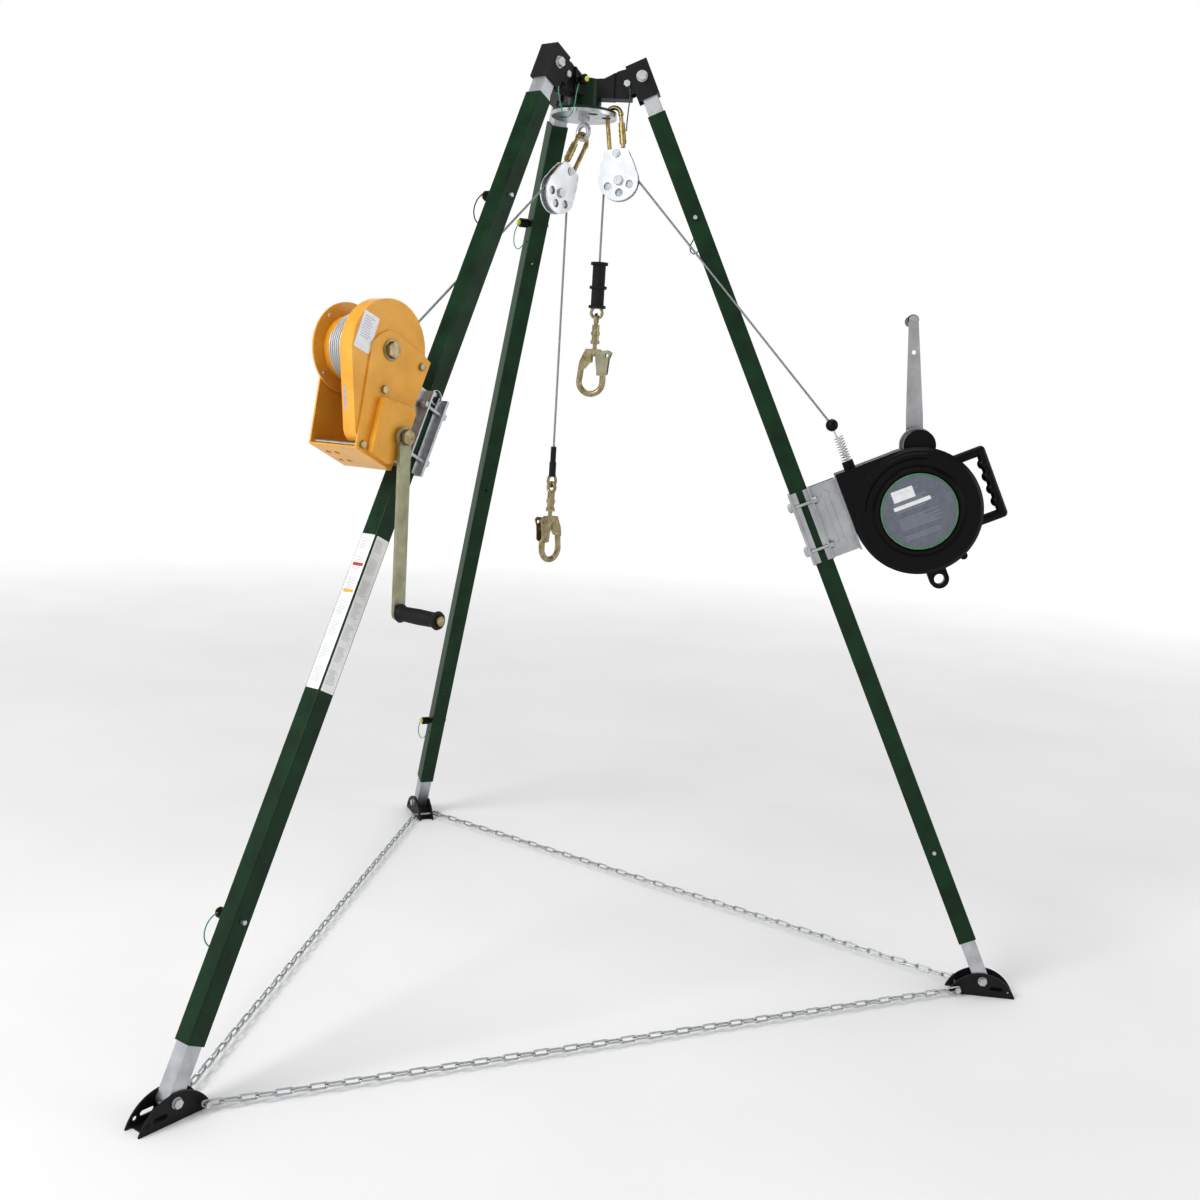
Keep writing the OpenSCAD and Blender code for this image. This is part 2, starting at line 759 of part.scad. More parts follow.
// Gear cover inside the near plate and brake cover outside it
module winch_covers()
  color(yellow)
    leg(az_left) {
      difference() {
        union() {
          tplate(22, t_near)
            difference() {
              cover2d(0);
              cover2d(4);
            }
          tplate(t_near - 3, t_near)
            cover2d(0);
        }
        lbox(web_n - 21, web_n + 5, 0, 80, drum_s - 60, drum_s + frame_l + 22);
        tcyl(drum_n, drum_s, 40, 80, 12);
        tcyl(idler_n, idler_s, 40, 80, 8);
        tcyl(crank_n, crank_s, 40, 80, 13);
      }
      difference() {
        tplate(t_near + 4, t_near + 20)
          difference() {
            polygon([[drum_n - 14, -crank_s + 49], [web_n + 15, -crank_s + 66], [web_n + 3, -crank_s + 58],
              [web_n + 3, -crank_s - 36], [104, -crank_s - 60], [drum_n - 30, -crank_s - 58]]);
            translate([crank_n, -crank_s])
              circle(r = 11.05);
          }
        difference() {
          tplate(t_near + 3, t_near + 17)
            polygon([[drum_n - 18.5, -crank_s + 45], [web_n + 16, -crank_s + 62], [web_n + 7, -crank_s + 56],
              [web_n + 7, -crank_s - 34], [106, -crank_s - 56], [drum_n - 33.5, -crank_s - 54]]);
          tcyl(crank_n, crank_s, t_near, t_near + 20, 24);
        }
      }
    }

// Axle nuts, cover bolts, tie rod and idler axle
module winch_fasteners()
  color(zinc)
    leg(az_left) {
      tcyl(drum_n, drum_s, t_far - 6, t_near + 8, 12);
      hex(drum_n, drum_s, t_near + 8, t_near + 16, 17);
      hex(drum_n, drum_s, t_far - 14, t_far - 6, 17);
      tcyl(idler_n, idler_s, 24, t_near + 4, 8);
      tcyl(drum_n - 12, drum_s + frame_l - 10, t_far + 4, t_near, 4);
      for (p = [[web_n + 20, drum_s - 10], [drum_n - 18, drum_s + 76],
        [drum_n - 16, drum_s + frame_l - 13]]) {
        hex(p[0], p[1], t_near + 4, t_near + 10, 8);
        hex(p[0], p[1], t_far - 6, t_far, 8);
      }
    }

// Drum with two flanges, a plain core under the winding and the main gear beside the near flange
module winch_drum()
  color(yellow)
    leg(az_left)
      difference() {
        union() {
          tcyl(drum_n, drum_s, -66, -62, drum_r);
          tcyl(drum_n, drum_s, -62, 24, wind_r * cos(7.5) - line_r - 0.3);
          tcyl(drum_n, drum_s, 20, 24, drum_r);
          tplate(24, 44)
            translate([drum_n, -drum_s])
              rotate([0, 0, train_a])
                gear2d(t_gear);
        }
        tcyl(drum_n, drum_s, -80, 60, 12 + run);
        for (a = [40 : 72 : 328])
          tcyl(drum_n + 60 * cos(a), drum_s + 60 * sin(a), 18, 50, 12);
      }

// Outer layer of line on the drum, one unbroken helix with straight ends
wind_turns = 10;
wind_pitch = line_d + 0.6;
wind_pts = concat([[wind_r, 0, -line_d]],
  [for (i = [0 : wind_turns * 24]) [wind_r * cos(i * 15), -i * wind_pitch / 24, wind_r * sin(i * 15)]],
  [[wind_r, -wind_turns * wind_pitch, line_d]]);
// Least gap between two stretches of a tube that are more than k rings apart
function self_gap(pts, r, k) = min([for (i = [0 : len(pts) - 1 - k])
  for (j = [i + k : min(i + 2 * k, len(pts) - 1)]) norm(pts[i] - pts[j])]) - 2 * r;
module winch_winding()
  color(zinc)
    leg(az_left)
      translate([drum_n, 16, -drum_s])
        sweep(wind_pts, line_r - 0.05, 6);

// Idler gear between pinion and drum gear
module winch_idler()
  color(zinc)
    leg(az_left)
      difference() {
        tplate(26, 42)
          translate([idler_n, -idler_s])
            rotate([0, 0, train_a])
              rotate([0, 0, 180 + 180 / t_idler])
                gear2d(t_idler);
        tcyl(idler_n, idler_s, 20, 50, 8 + run);
      }

// Crank: pinion shaft, flat arm hanging straight down and the grip's pin
end_n = crank_n - crank_len * sin(leg_angle);
end_s = crank_s + crank_len * cos(leg_angle);
module winch_crank()
  leg(az_left) {
    color(zinc)
      difference() {
        union() {
          tplate(26, 42)
            translate([crank_n, -crank_s])
              rotate([0, 0, train_a])
                rotate([0, 0, 180 + (t_idler % 2 == 0 ? 0 : 180 / t_pinion)])
                  gear2d(t_pinion);
          tcyl(crank_n, crank_s, 20, t_near + 40, 11);
        }
      }
    color(olive)
      translate([crank_n, 0, -crank_s])
        tplate(t_near + 26, t_near + 34)
          rotate([0, 0, -90 - leg_angle])
            difference() {
              union() {
                translate([0, -15])
                  square([crank_len, 30]);
                circle(r = 20);
                translate([crank_len, 0])
                  circle(r = 15);
              }
              circle(r = 11 + run);
              translate([crank_len, 0])
                circle(r = 7 + run);
            }
    color(zinc) {
      tcyl(end_n, end_s, t_near + 22, t_near + 38 + grip_len, 7);
      hex(end_n, end_s, t_near + 22, t_near + 26 - run, 11);
      tcyl(end_n, end_s, t_near + 36 + grip_len, t_near + 40 + grip_len, 10);
      hex(crank_n, crank_s, t_near + 36, t_near + 44, 16);
    }
  }

// Grip that turns on the crank's pin
module winch_grip()
  color(black)
    leg(az_left)
      translate([end_n, t_near + 34.5, -end_s])
        rotate([-90, 0, 0])
          rotate_extrude()
            polygon([[7 + run, 0], [17, 0], [19, 4], [15, 14], [16, grip_len / 2], [15, grip_len - 14],
              [19, grip_len - 4], [17, grip_len], [7 + run, grip_len]]);

// Wire line over a sheave and away to its machine
module line_run(c, p1, p2)
  union() {
    rod([p1[0], 0, p1[1]] + 0.3 * unit([p2[0] - p1[0], 0, p2[1] - p1[1]]), [p2[0], 0, p2[1]], line_r);
    translate([p1[0], 0, p1[1]])
      sphere(r = line_r + 0.12);
    translate([c[0], 0, c[1]])
      rotate([90, 0, 0])
        rotate([0, 0, atan2(p1[1] - c[1], p1[0] - c[0]) + 0.5])
          rotate_extrude(angle = 179.5 - atan2(p1[1] - c[1], p1[0] - c[0]))
            translate([sheave_r, 0])
              circle(r = line_r);
  }

module winch_line()
  color(zinc)
    rotate([0, 0, winch_az])
      line_run(winch_c, winch_p1, winch_p2);

module retriever_line()
  color(zinc) {
    rotate([0, 0, retriever_az])
      line_run(retriever_c, retriever_p1, ball_c);
  }

// Hanging part of a line
module drop(az, c, z)
  rotate([0, 0, az])
    translate([c[0] - sheave_r, 0, z])
      cylinder(h = c[1] - z, r = line_r);

module winch_drop()
  color(zinc)
    drop(winch_az, winch_c, winch_end_z);

module retriever_drop()
  color(zinc)
    drop(retriever_az, retriever_c, retriever_end_z);

// Frame of a line's end: X out, Z up, origin at the end of the line
module end_frame(az, c, z)
  rotate([0, 0, az])
    translate([c[0] - sheave_r, 0, z])
      children();

// Thimble and swivel eye below a sleeve that ends at z
module thimble(z)
  translate([0, 0, z - 10])
    rotate([90, 0, 0])
      rotate_extrude()
        translate([13, 0])
          circle(r = 3.5);
module swivel(z)
  translate([0, 0, z - 26]) {
    rotate([90, 0, 90])
      rotate_extrude()
        translate([11, 0])
          circle(r = 4);
    translate([0, 0, -56])
      cylinder(h = 44, r = 8.5);
    for (z = [-56, -36])
      translate([0, 0, z])
        cylinder(h = 8, r = 10.5);
    translate([0, 0, -82])
      cylinder(h = 30, r = 5);
    translate([0, 0, -85])
      cylinder(h = 3.5, r = 7.5);
  }

module winch_line_end()
  end_frame(winch_az, winch_c, winch_end_z) {
    color(black)
      union() {
        translate([0, 0, -70])
          cylinder(h = 34, r = 8);
        translate([0, 0, -36])
          cylinder(h = 36, r = 6.5);
        thimble(-70);
      }
    color(gold)
      swivel(-70);
  }

module retriever_line_end()
  end_frame(retriever_az, retriever_c, retriever_end_z) {
    color(black)
      union() {
        translate([0, 0, -104])
          cylinder(h = 104, r = 15);
        for (z = [-104, -60, -6])
          translate([0, 0, z])
            cylinder(h = 6, r = 20);
        thimble(-104);
      }
    color(gold)
      swivel(-104);
  }

// Forged hook below a swivel whose shank is on the Z axis: shoulder, spine, bend and nose
module hook_body()
  difference() {
    union() {
      translate([0, 0, -37])
        cylinder(h = 14, r = 7.2);
      tplate(-7, 7)
        polygon([[-20, -24], [14, -24], [21, -30], [21, -45], [6, -52], [-10, -56], [-21, -70], [-36, -72],
          [-33, -52]]);
      rod([-29, 0, -60], [-33, 0, -100], 7);
      translate([-5, 0, -100])
        half_ring(28, 7, 180, 360);
      translate([-33, 0, -100])
        sphere(r = 7.3);
      translate([23, 0, -100.3])
        cylinder(h = 16.3, r = 7.3);
      translate([23, 0, -84])
        sphere(r = 7.3);
    }
    translate([0, 0, -50])
      cylinder(h = 40, r = 5 + run);
    tcyl(12, 38, -8, 8, 2.5 + run);
    translate([0, 0, -60])
      cylinder(h = 23, r = 8.3);
  }

// Hook gate: two side plates with a lock lever, a web that closes the throat, on its own pin
module hook_gate()
  union() {
    for (y = [7.6, -9.8])
      tplate(y, y + 2.2)
        difference() {
          polygon([[4, -34], [14, -28], [34, -25], [42, -31], [36, -46], [33, -80], [22, -86], [10, -84],
            [6, -56]]);
          translate([31, -37])
            circle(r = 4.5);
        }
    translate([9, -9.8, -84])
      cube([6.2, 19.6, 24]);
    tcyl(12, 38, -11, 11, 2.5);
  }

module winch_hook()
  color(gold)
    end_frame(winch_az, winch_c, winch_end_z - 140)
      hook_body();
module winch_hook_gate()
  color(gold)
    end_frame(winch_az, winch_c, winch_end_z - 140)
      hook_gate();
module retriever_hook()
  color(gold)
    end_frame(retriever_az, retriever_c, retriever_end_z - 174)
      hook_body();
module retriever_hook_gate()
  color(gold)
    end_frame(retriever_az, retriever_c, retriever_end_z - 174)
      hook_gate();

// Retriever clamp on the right leg
module retriever_clamp()
  color(zinc)
    leg(az_right)
      clamp(case_s - 134, case_s + 40, 90, -60);

// Retriever housing: round body with a square corner, raised front ring, crank boss, nozzle and eye
t_back = -2;
// Plane of the crank arm, clear of the clamp and the leg
arm_t = half_out + 20;
arm_dir = [0.3295, -0.944];
hub_n = case_n + 0.375 * case_r;
hub_s = case_s - case_r * 17 / 18;
noz_n = 127;
noz_t = -ball_c[0] * sin(line_toe) - 1;
module retriever_housing()
  color(black)
    leg(az_right)
      difference() {
        union() {
          translate([case_n, t_back, -case_s])
            rotate([90, 0, 0])
              rotate_extrude($fn = 128)
                polygon([[0, 0], [case_r, 0], [case_r, case_d - 8], [case_r - 8, case_d], [104, case_d],
                  [96, case_d + 10], [90, case_d + 10], [88, case_d + 4], [0, case_d + 4]]);
          translate([case_n, t_back, -case_s])
            rotate([90, 0, 0])
              rotate([0, 0, 62])
                rotate_extrude(angle = 96, $fn = 128)
                  polygon([[case_r - 26, case_d - 20], [case_r - 12, case_d - 20], [case_r - 12, case_d + 1],
                    [case_r - 15, case_d + 4], [case_r - 23, case_d + 4], [case_r - 26, case_d + 1]]);
          lbox(90, case_n, t_back - case_d + 4, t_back - 6, case_s - case_r, case_s);
          tcyl(hub_n, hub_s, t_back - 56, t_back, 36);
          translate([noz_n, noz_t, -case_s + case_r])
            cylinder(h = 18, r = 13);
          tplate(t_back - 54, t_back - 34)
            difference() {
              union() {
                translate([case_n - 7, -case_s - case_r - 23])
                  circle(r = 22);
                translate([case_n - 29, -case_s - case_r - 23])
                  square([44, 40]);
              }
              translate([case_n - 7, -case_s - case_r - 23])
                circle(r = 12);
            }
          tcyl(case_n + 0.42 * case_r, case_s + 0.925 * case_r, t_back - 66, t_back - 26, 9);
        }
        tcyl(hub_n, hub_s, t_back - 50, t_back + 2, 10 + run);
        translate([noz_n, noz_t, -case_s + case_r - 20])
          cylinder(h = 60, r = line_r + 1);
      }

// Round face plate set into the front ring
module retriever_face()
  color([0.41, 0.43, 0.47])
    leg(az_right)
      tcyl(case_n, case_s, t_back - case_d - 6, t_back - case_d - 4, 86);

// Carrying handle on the outer side
module retriever_handle()
  color(black)
    leg(az_right)
      translate([0, t_back - 44, 0]) {
        difference() {
          for (s = [-76, 74])
            translate([case_n + 100, 0, -case_s - s])
              rotate([0, 90, 0])
                cylinder(h = 76, r = 11);
          tcyl(case_n, case_s, -40, 40, case_r);
        }
        translate([case_n + 176, 0, -case_s - 74])
          cylinder(h = 150, r = 11);
        for (s = [-76, 74])
          translate([case_n + 176, 0, -case_s - s])
            sphere(r = 11);
        for (s = [-46, -16, 14, 44])
          translate([case_n + 172, 0, -case_s - s])
            sphere(r = 13);
      }

// Folding crank of the retriever: shaft, tapered arm and knob
module retriever_crank()
  leg(az_right) {
    color(zinc)
      union() {
        tcyl(hub_n, hub_s, t_back - 46, arm_t, 10);
        tcyl(hub_n, hub_s, t_back + 12, arm_t, 16);
        tplate(t_back + 1, t_back + 12)
          translate([hub_n, -hub_s])
            circle(r = 40);
        translate([hub_n, 0, -hub_s])
          tplate(arm_t, arm_t + 8)
            rotate([0, 0, atan2(-arm_dir[1], arm_dir[0])])
              difference() {
                union() {
                  polygon([[0, -20], [70, -19], [arm_len, -11], [arm_len, 11], [70, 19], [0, 20]]);
                  circle(r = 34);
                  translate([arm_len, 0])
                    circle(r = 11);
                }
                translate([arm_len - 74, 0])
                  circle(r = 5);
              }
        translate([hub_n, 0, -hub_s])
          rotate([0, -atan2(-arm_dir[1], arm_dir[0]), 0])
            tcyl(arm_len, 0, arm_t - 6, arm_t + 24, 6);
      }
    color(black)
      translate([hub_n, 0, -hub_s])
        rotate([0, -atan2(-arm_dir[1], arm_dir[0]), 0])
          difference() {
            tcyl(arm_len, 0, arm_t + 9, arm_t + 72, 13);
            tcyl(arm_len, 0, arm_t, arm_t + 24.5, 6 + run);
          }
  }

// Wire bumper spring on the nozzle, the ball stop on the line and the line's last stretch into the nozzle
ball_xyz = [ball_c[0] * cos(retriever_az), ball_c[0] * sin(retriever_az), ball_c[1]];
noz_xyz = leg_xyz(az_right, noz_n, noz_t, case_s - case_r - 9);
spring_turns = 9;
spring_pts = concat([[10.5, -2.4, 1.3]], [for (i = [0 : spring_turns * 8])
  [10.5 * cos(i * 45), 10.5 * sin(i * 45), 1.3 + i * 6.4 / 8]], [[10.5, 2.4, 1.3 + spring_turns * 6.4]]);
module retriever_spring() {
  color(zinc)
    leg(az_right)
      translate([noz_n, noz_t, -case_s + case_r + 18])
        sweep(spring_pts, 1.2, 6);
  color(zinc)
    rod(ball_xyz + 12 * unit(noz_xyz - ball_xyz), noz_xyz, line_r);
  color(black)
    rotate([0, 0, retriever_az])
      translate([ball_c[0], 0, ball_c[1]])
        difference() {
          sphere(r = 14);
          rotate([0, 90 - atan2(r_dir[1], r_dir[0]), 0])
            translate([0, 0, -20])
              cylinder(h = 40, r = line_r + 0.3);
        }
}

module left_upper_tube() upper_tube(az_left);
module right_upper_tube() upper_tube(az_right);
module back_upper_tube() upper_tube(az_back);
module left_main_tube() main_tube(az_left);
module right_main_tube() main_tube(az_right);
module back_main_tube() main_tube(az_back);
module left_lower_tube() lower_tube(az_left);
module right_lower_tube() lower_tube(az_right);
module back_lower_tube() lower_tube(az_back);
module left_foot() foot(az_left);
module right_foot() foot(az_right);
module back_foot() foot(az_back);
module left_upper_pin() lock_pin(az_left, upper_pin_s, -1);
module left_lower_pin() lock_pin(az_left, lower_pin_s, -1);
module right_upper_pin() lock_pin(az_right, upper_pin_s, 1);
module right_lower_pin() lock_pin(az_right, lower_pin_s, 1);
module back_upper_pin() lock_pin(az_back, upper_pin_s, 1);
module back_lower_pin() lock_pin(az_back, lower_pin_s, 1);
module left_lanyards() {
  lanyard(az_left, upper_pin_s, -1);
  lanyard(az_left, lower_pin_s, -1);
}
module right_lanyards() {
  lanyard(az_right, upper_pin_s, 1);
  lanyard(az_right, lower_pin_s, 1);
}
module back_lanyards() {
  lanyard(az_back, upper_pin_s, 1);
  lanyard(az_back, lower_pin_s, 1);
}
module chain_front() chain_run(270);
module chain_right() chain_run(30);
module chain_left() chain_run(150);

echo(winding_least_gap = self_gap(wind_pts, line_r, 12), spring_least_gap = self_gap(spring_pts, 1.2, 5));
head_plate();
head_arms();
leg_clevises();
head_fasteners();
eye_bolt();
carabiners();
winch_carabiner_gate();
retriever_carabiner_gate();
pulley_cheeks();
winch_sheave();
retriever_sheave();
left_upper_tube();
left_main_tube();
left_lower_tube();
left_foot();
left_upper_pin();
left_lower_pin();
left_lanyards();
right_upper_tube();
right_main_tube();
right_lower_tube();
right_foot();
right_upper_pin();
right_lower_pin();
right_lanyards();
back_upper_tube();
back_main_tube();
back_lower_tube();
back_foot();
back_upper_pin();
back_lower_pin();
back_lanyards();
chain_front();
chain_right();
chain_left();
winch_clamp();
winch_frame();
winch_covers();
winch_fasteners();
winch_drum();
winch_winding();
winch_idler();
winch_crank();
winch_grip();
winch_line();
winch_drop();
winch_line_end();
winch_hook();
winch_hook_gate();
retriever_clamp();
retriever_housing();
retriever_face();
retriever_handle();
retriever_crank();
retriever_spring();
retriever_line();
retriever_drop();
retriever_line_end();
retriever_hook();
retriever_hook_gate();
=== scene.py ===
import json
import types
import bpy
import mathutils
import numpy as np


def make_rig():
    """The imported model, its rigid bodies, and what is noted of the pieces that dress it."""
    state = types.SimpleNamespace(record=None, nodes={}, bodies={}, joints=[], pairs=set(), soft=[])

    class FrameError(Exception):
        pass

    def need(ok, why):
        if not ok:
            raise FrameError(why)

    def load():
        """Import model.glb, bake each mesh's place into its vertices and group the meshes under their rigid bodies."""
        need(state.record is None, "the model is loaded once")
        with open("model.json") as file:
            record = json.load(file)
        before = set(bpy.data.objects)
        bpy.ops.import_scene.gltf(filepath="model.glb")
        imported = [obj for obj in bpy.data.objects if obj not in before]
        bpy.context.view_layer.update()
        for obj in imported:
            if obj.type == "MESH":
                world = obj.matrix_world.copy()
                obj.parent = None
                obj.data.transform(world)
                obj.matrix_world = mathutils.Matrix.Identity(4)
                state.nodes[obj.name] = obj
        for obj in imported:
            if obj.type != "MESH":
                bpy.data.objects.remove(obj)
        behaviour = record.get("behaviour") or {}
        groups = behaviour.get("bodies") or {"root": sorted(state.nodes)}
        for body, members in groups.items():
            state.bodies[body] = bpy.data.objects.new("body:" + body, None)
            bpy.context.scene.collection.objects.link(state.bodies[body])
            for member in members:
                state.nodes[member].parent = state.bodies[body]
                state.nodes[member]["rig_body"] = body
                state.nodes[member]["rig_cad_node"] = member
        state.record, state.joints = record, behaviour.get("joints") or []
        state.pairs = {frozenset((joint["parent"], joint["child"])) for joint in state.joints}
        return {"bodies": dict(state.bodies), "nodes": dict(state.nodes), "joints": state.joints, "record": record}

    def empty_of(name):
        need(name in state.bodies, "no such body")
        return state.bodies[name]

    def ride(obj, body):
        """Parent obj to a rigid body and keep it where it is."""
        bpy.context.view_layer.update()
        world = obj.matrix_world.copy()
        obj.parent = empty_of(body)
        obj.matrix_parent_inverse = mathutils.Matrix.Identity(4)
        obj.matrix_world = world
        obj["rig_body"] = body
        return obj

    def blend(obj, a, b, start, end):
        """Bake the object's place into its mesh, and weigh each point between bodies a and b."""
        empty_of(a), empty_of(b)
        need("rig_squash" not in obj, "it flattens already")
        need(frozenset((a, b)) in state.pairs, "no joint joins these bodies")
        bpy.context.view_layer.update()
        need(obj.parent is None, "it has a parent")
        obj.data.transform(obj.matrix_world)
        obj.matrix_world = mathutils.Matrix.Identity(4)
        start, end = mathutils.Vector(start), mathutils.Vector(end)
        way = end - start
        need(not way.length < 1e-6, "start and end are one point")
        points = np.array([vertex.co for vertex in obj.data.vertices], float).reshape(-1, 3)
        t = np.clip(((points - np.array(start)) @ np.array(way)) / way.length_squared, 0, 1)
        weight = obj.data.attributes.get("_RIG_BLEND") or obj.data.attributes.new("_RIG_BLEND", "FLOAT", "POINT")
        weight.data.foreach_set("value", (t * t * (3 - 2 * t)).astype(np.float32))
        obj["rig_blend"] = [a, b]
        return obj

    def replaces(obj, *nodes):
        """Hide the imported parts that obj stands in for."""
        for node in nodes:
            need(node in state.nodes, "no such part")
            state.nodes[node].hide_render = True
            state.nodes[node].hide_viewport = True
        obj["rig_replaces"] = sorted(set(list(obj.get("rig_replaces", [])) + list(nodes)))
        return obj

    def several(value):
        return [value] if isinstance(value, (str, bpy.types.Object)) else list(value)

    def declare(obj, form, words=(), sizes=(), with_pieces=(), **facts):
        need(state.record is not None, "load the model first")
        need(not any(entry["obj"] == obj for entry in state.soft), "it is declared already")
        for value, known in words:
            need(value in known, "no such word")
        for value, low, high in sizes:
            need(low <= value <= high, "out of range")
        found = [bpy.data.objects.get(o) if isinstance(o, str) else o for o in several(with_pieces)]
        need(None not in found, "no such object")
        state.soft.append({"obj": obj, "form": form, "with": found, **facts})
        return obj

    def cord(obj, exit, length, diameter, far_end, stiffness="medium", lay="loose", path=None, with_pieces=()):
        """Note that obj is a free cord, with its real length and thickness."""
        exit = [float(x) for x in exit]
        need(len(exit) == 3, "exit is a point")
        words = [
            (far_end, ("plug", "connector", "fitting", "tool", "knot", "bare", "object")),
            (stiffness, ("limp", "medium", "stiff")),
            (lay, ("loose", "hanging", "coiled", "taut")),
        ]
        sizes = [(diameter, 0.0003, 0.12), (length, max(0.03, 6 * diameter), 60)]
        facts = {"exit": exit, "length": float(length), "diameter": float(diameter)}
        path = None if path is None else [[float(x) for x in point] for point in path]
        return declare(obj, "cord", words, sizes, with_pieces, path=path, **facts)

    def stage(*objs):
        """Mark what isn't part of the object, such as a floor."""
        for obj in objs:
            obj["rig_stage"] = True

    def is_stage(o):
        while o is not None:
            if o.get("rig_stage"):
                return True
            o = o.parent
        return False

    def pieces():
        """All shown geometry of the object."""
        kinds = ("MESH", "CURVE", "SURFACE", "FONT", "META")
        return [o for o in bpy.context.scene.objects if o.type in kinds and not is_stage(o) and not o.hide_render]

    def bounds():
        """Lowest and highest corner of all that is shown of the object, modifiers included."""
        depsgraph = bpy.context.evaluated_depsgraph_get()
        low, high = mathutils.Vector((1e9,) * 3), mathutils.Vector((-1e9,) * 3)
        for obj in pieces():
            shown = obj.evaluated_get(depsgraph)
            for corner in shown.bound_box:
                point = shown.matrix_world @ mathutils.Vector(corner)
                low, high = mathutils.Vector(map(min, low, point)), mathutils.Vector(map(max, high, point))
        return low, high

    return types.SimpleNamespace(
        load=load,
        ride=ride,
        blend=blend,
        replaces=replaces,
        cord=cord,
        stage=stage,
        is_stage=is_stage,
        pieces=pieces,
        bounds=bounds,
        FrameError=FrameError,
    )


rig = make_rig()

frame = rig.load()

import json
import math
import bpy
from mathutils import Matrix, Vector

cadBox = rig.bounds()
nodes = frame["nodes"]
scene = bpy.context.scene

# Main sizes of the tripod in metres, the same as the solids have
tripod = {"legAngle": 25.0, "headRadius": 0.130, "footHeight": 0.038, "legLength": 2.270, "tubeHalf": 0.021,
          "upperPin": 0.335, "lowerPin": 1.928, "plateDrop": 0.091, "plateStep": 0.0085, "hubRadius": 0.0395}
legLean = math.radians(tripod["legAngle"])
tripod["pivotHeight"] = tripod["footHeight"] + tripod["legLength"] * math.cos(legLean)
tripod["footRadius"] = tripod["headRadius"] + tripod["legLength"] * math.sin(legLean)
legTurn = {"left": 210.0, "right": 330.0, "back": 90.0}


def turned(azimuth, radius, along, height):
    cosine, sine = math.cos(math.radians(azimuth)), math.sin(math.radians(azimuth))
    return Vector((radius * cosine - along * sine, radius * sine + along * cosine, height))


# Distance from the middle and height of a point that is given by its leg
def legSection(out, down):
    return (tripod["headRadius"] + out * math.cos(legLean) + down * math.sin(legLean),
            tripod["pivotHeight"] + out * math.sin(legLean) - down * math.cos(legLean))


def legPoint(leg, out, along, down):
    radius, height = legSection(out, down)
    return turned(legTurn[leg], radius, along, height)


def axesMatrix(x, y, z, origin):
    return Matrix(((x.x, y.x, z.x, origin.x), (x.y, y.y, z.y, origin.y), (x.z, y.z, z.z, origin.z),
                   (0, 0, 0, 1)))


def legFrame(leg):
    origin = legPoint(leg, 0, 0, 0)
    x = legPoint(leg, 1, 0, 0) - origin
    y = legPoint(leg, 0, 1, 0) - origin
    return axesMatrix(x, y, origin - legPoint(leg, 0, 0, 1), origin)


legMatrix = {leg: legFrame(leg) for leg in legTurn}
legInverse = {leg: legMatrix[leg].inverted() for leg in legTurn}
legAxes = {leg: legMatrix[leg].to_3x3() for leg in legTurn}


# Camera where the photograph was taken, a little left of the front and at chest height
def makeCamera():
    view = {"place": (-1.194, -2.950, 1.3774), "yaw": 23.896, "pitch": -8.707, "roll": 3.470, "lens": 39.88,
            "sensor": 36.0, "near": 0.05, "far": 60.0}
    yaw, pitch, roll = (math.radians(view[k]) for k in ("yaw", "pitch", "roll"))
    ahead = Vector((math.sin(yaw) * math.cos(pitch), math.cos(yaw) * math.cos(pitch), math.sin(pitch)))
    level = Vector((math.cos(yaw), -math.sin(yaw), 0))
    above = level.cross(ahead)
    side = math.cos(roll) * level + math.sin(roll) * above
    top = -math.sin(roll) * level + math.cos(roll) * above
    data = bpy.data.cameras.new("photoCamera")
    data.lens, data.sensor_width, data.sensor_fit = view["lens"], view["sensor"], "AUTO"
    data.clip_start, data.clip_end = view["near"], view["far"]
    obj = bpy.data.objects.new("photoCamera", data)
    scene.collection.objects.link(obj)
    obj.matrix_world = axesMatrix(side, top, -ahead, Vector(view["place"]))
    scene.camera = obj


makeCamera()
print("camera set")


# Mesh helpers
def meshPiece(name, verts, faces, smooth=True, uvs=None):
    mesh = bpy.data.meshes.new(name)
    mesh.from_pydata([tuple(v) for v in verts], [], faces)
    if uvs:
        layer = mesh.uv_layers.new(name="UVMap")
        for loop in mesh.loops:
            layer.data[loop.index].uv = uvs[loop.vertex_index]
    mesh.polygons.foreach_set("use_smooth", [smooth] * len(mesh.polygons))
    mesh.validate()
    mesh.update()
    obj = bpy.data.objects.new(name, mesh)
    scene.collection.objects.link(obj)
    return obj


# Faces between rows of points, closed to a loop or with a cap at each end
def tubeFaces(rows, sides, looped=False):
    faces = []
    for i in range(rows if looped else rows - 1):
        low, high = i * sides, (i + 1) % rows * sides
        for k in range(sides):
            n = (k + 1) % sides
            faces.append((low + k, low + n, high + n, high + k))
    if not looped:
        faces.append(tuple(range(sides - 1, -1, -1)))
        faces.append(tuple((rows - 1) * sides + k for k in range(sides)))
    return faces


# Faces of a thin sheet: the outline of its front, then that of its back
def sheetFaces(count):
    rim = [(k, count + k, count + (k + 1) % count, (k + 1) % count) for k in range(count)]
    return [tuple(range(count)), tuple(range(2 * count - 1, count - 1, -1))] + rim


def resample(points, step):
    dense = [Vector(points[0])]
    for a, b in zip(points[:-1], points[1:]):
        a, b = Vector(a), Vector(b)
        count = max(1, round((b - a).length / step))
        dense += [a.lerp(b, k / count) for k in range(1, count + 1)]
    return dense


def smoothPath(points, count):
    marks = [Vector(p) for p in points]
    path = []
    for i in range(len(marks) - 1):
        p0, p1, p2, p3 = marks[max(i - 1, 0)], marks[i], marks[i + 1], marks[min(i + 2, len(marks) - 1)]
        for k in range(count):
            t = k / count
            path.append(0.5 * ((2 * p1) + (p2 - p0) * t + (2 * p0 - 5 * p1 + 4 * p2 - p3) * t * t
                               + (3 * p1 - p0 - 3 * p2 + p3) * t * t * t))
    path.append(marks[-1])
    return path


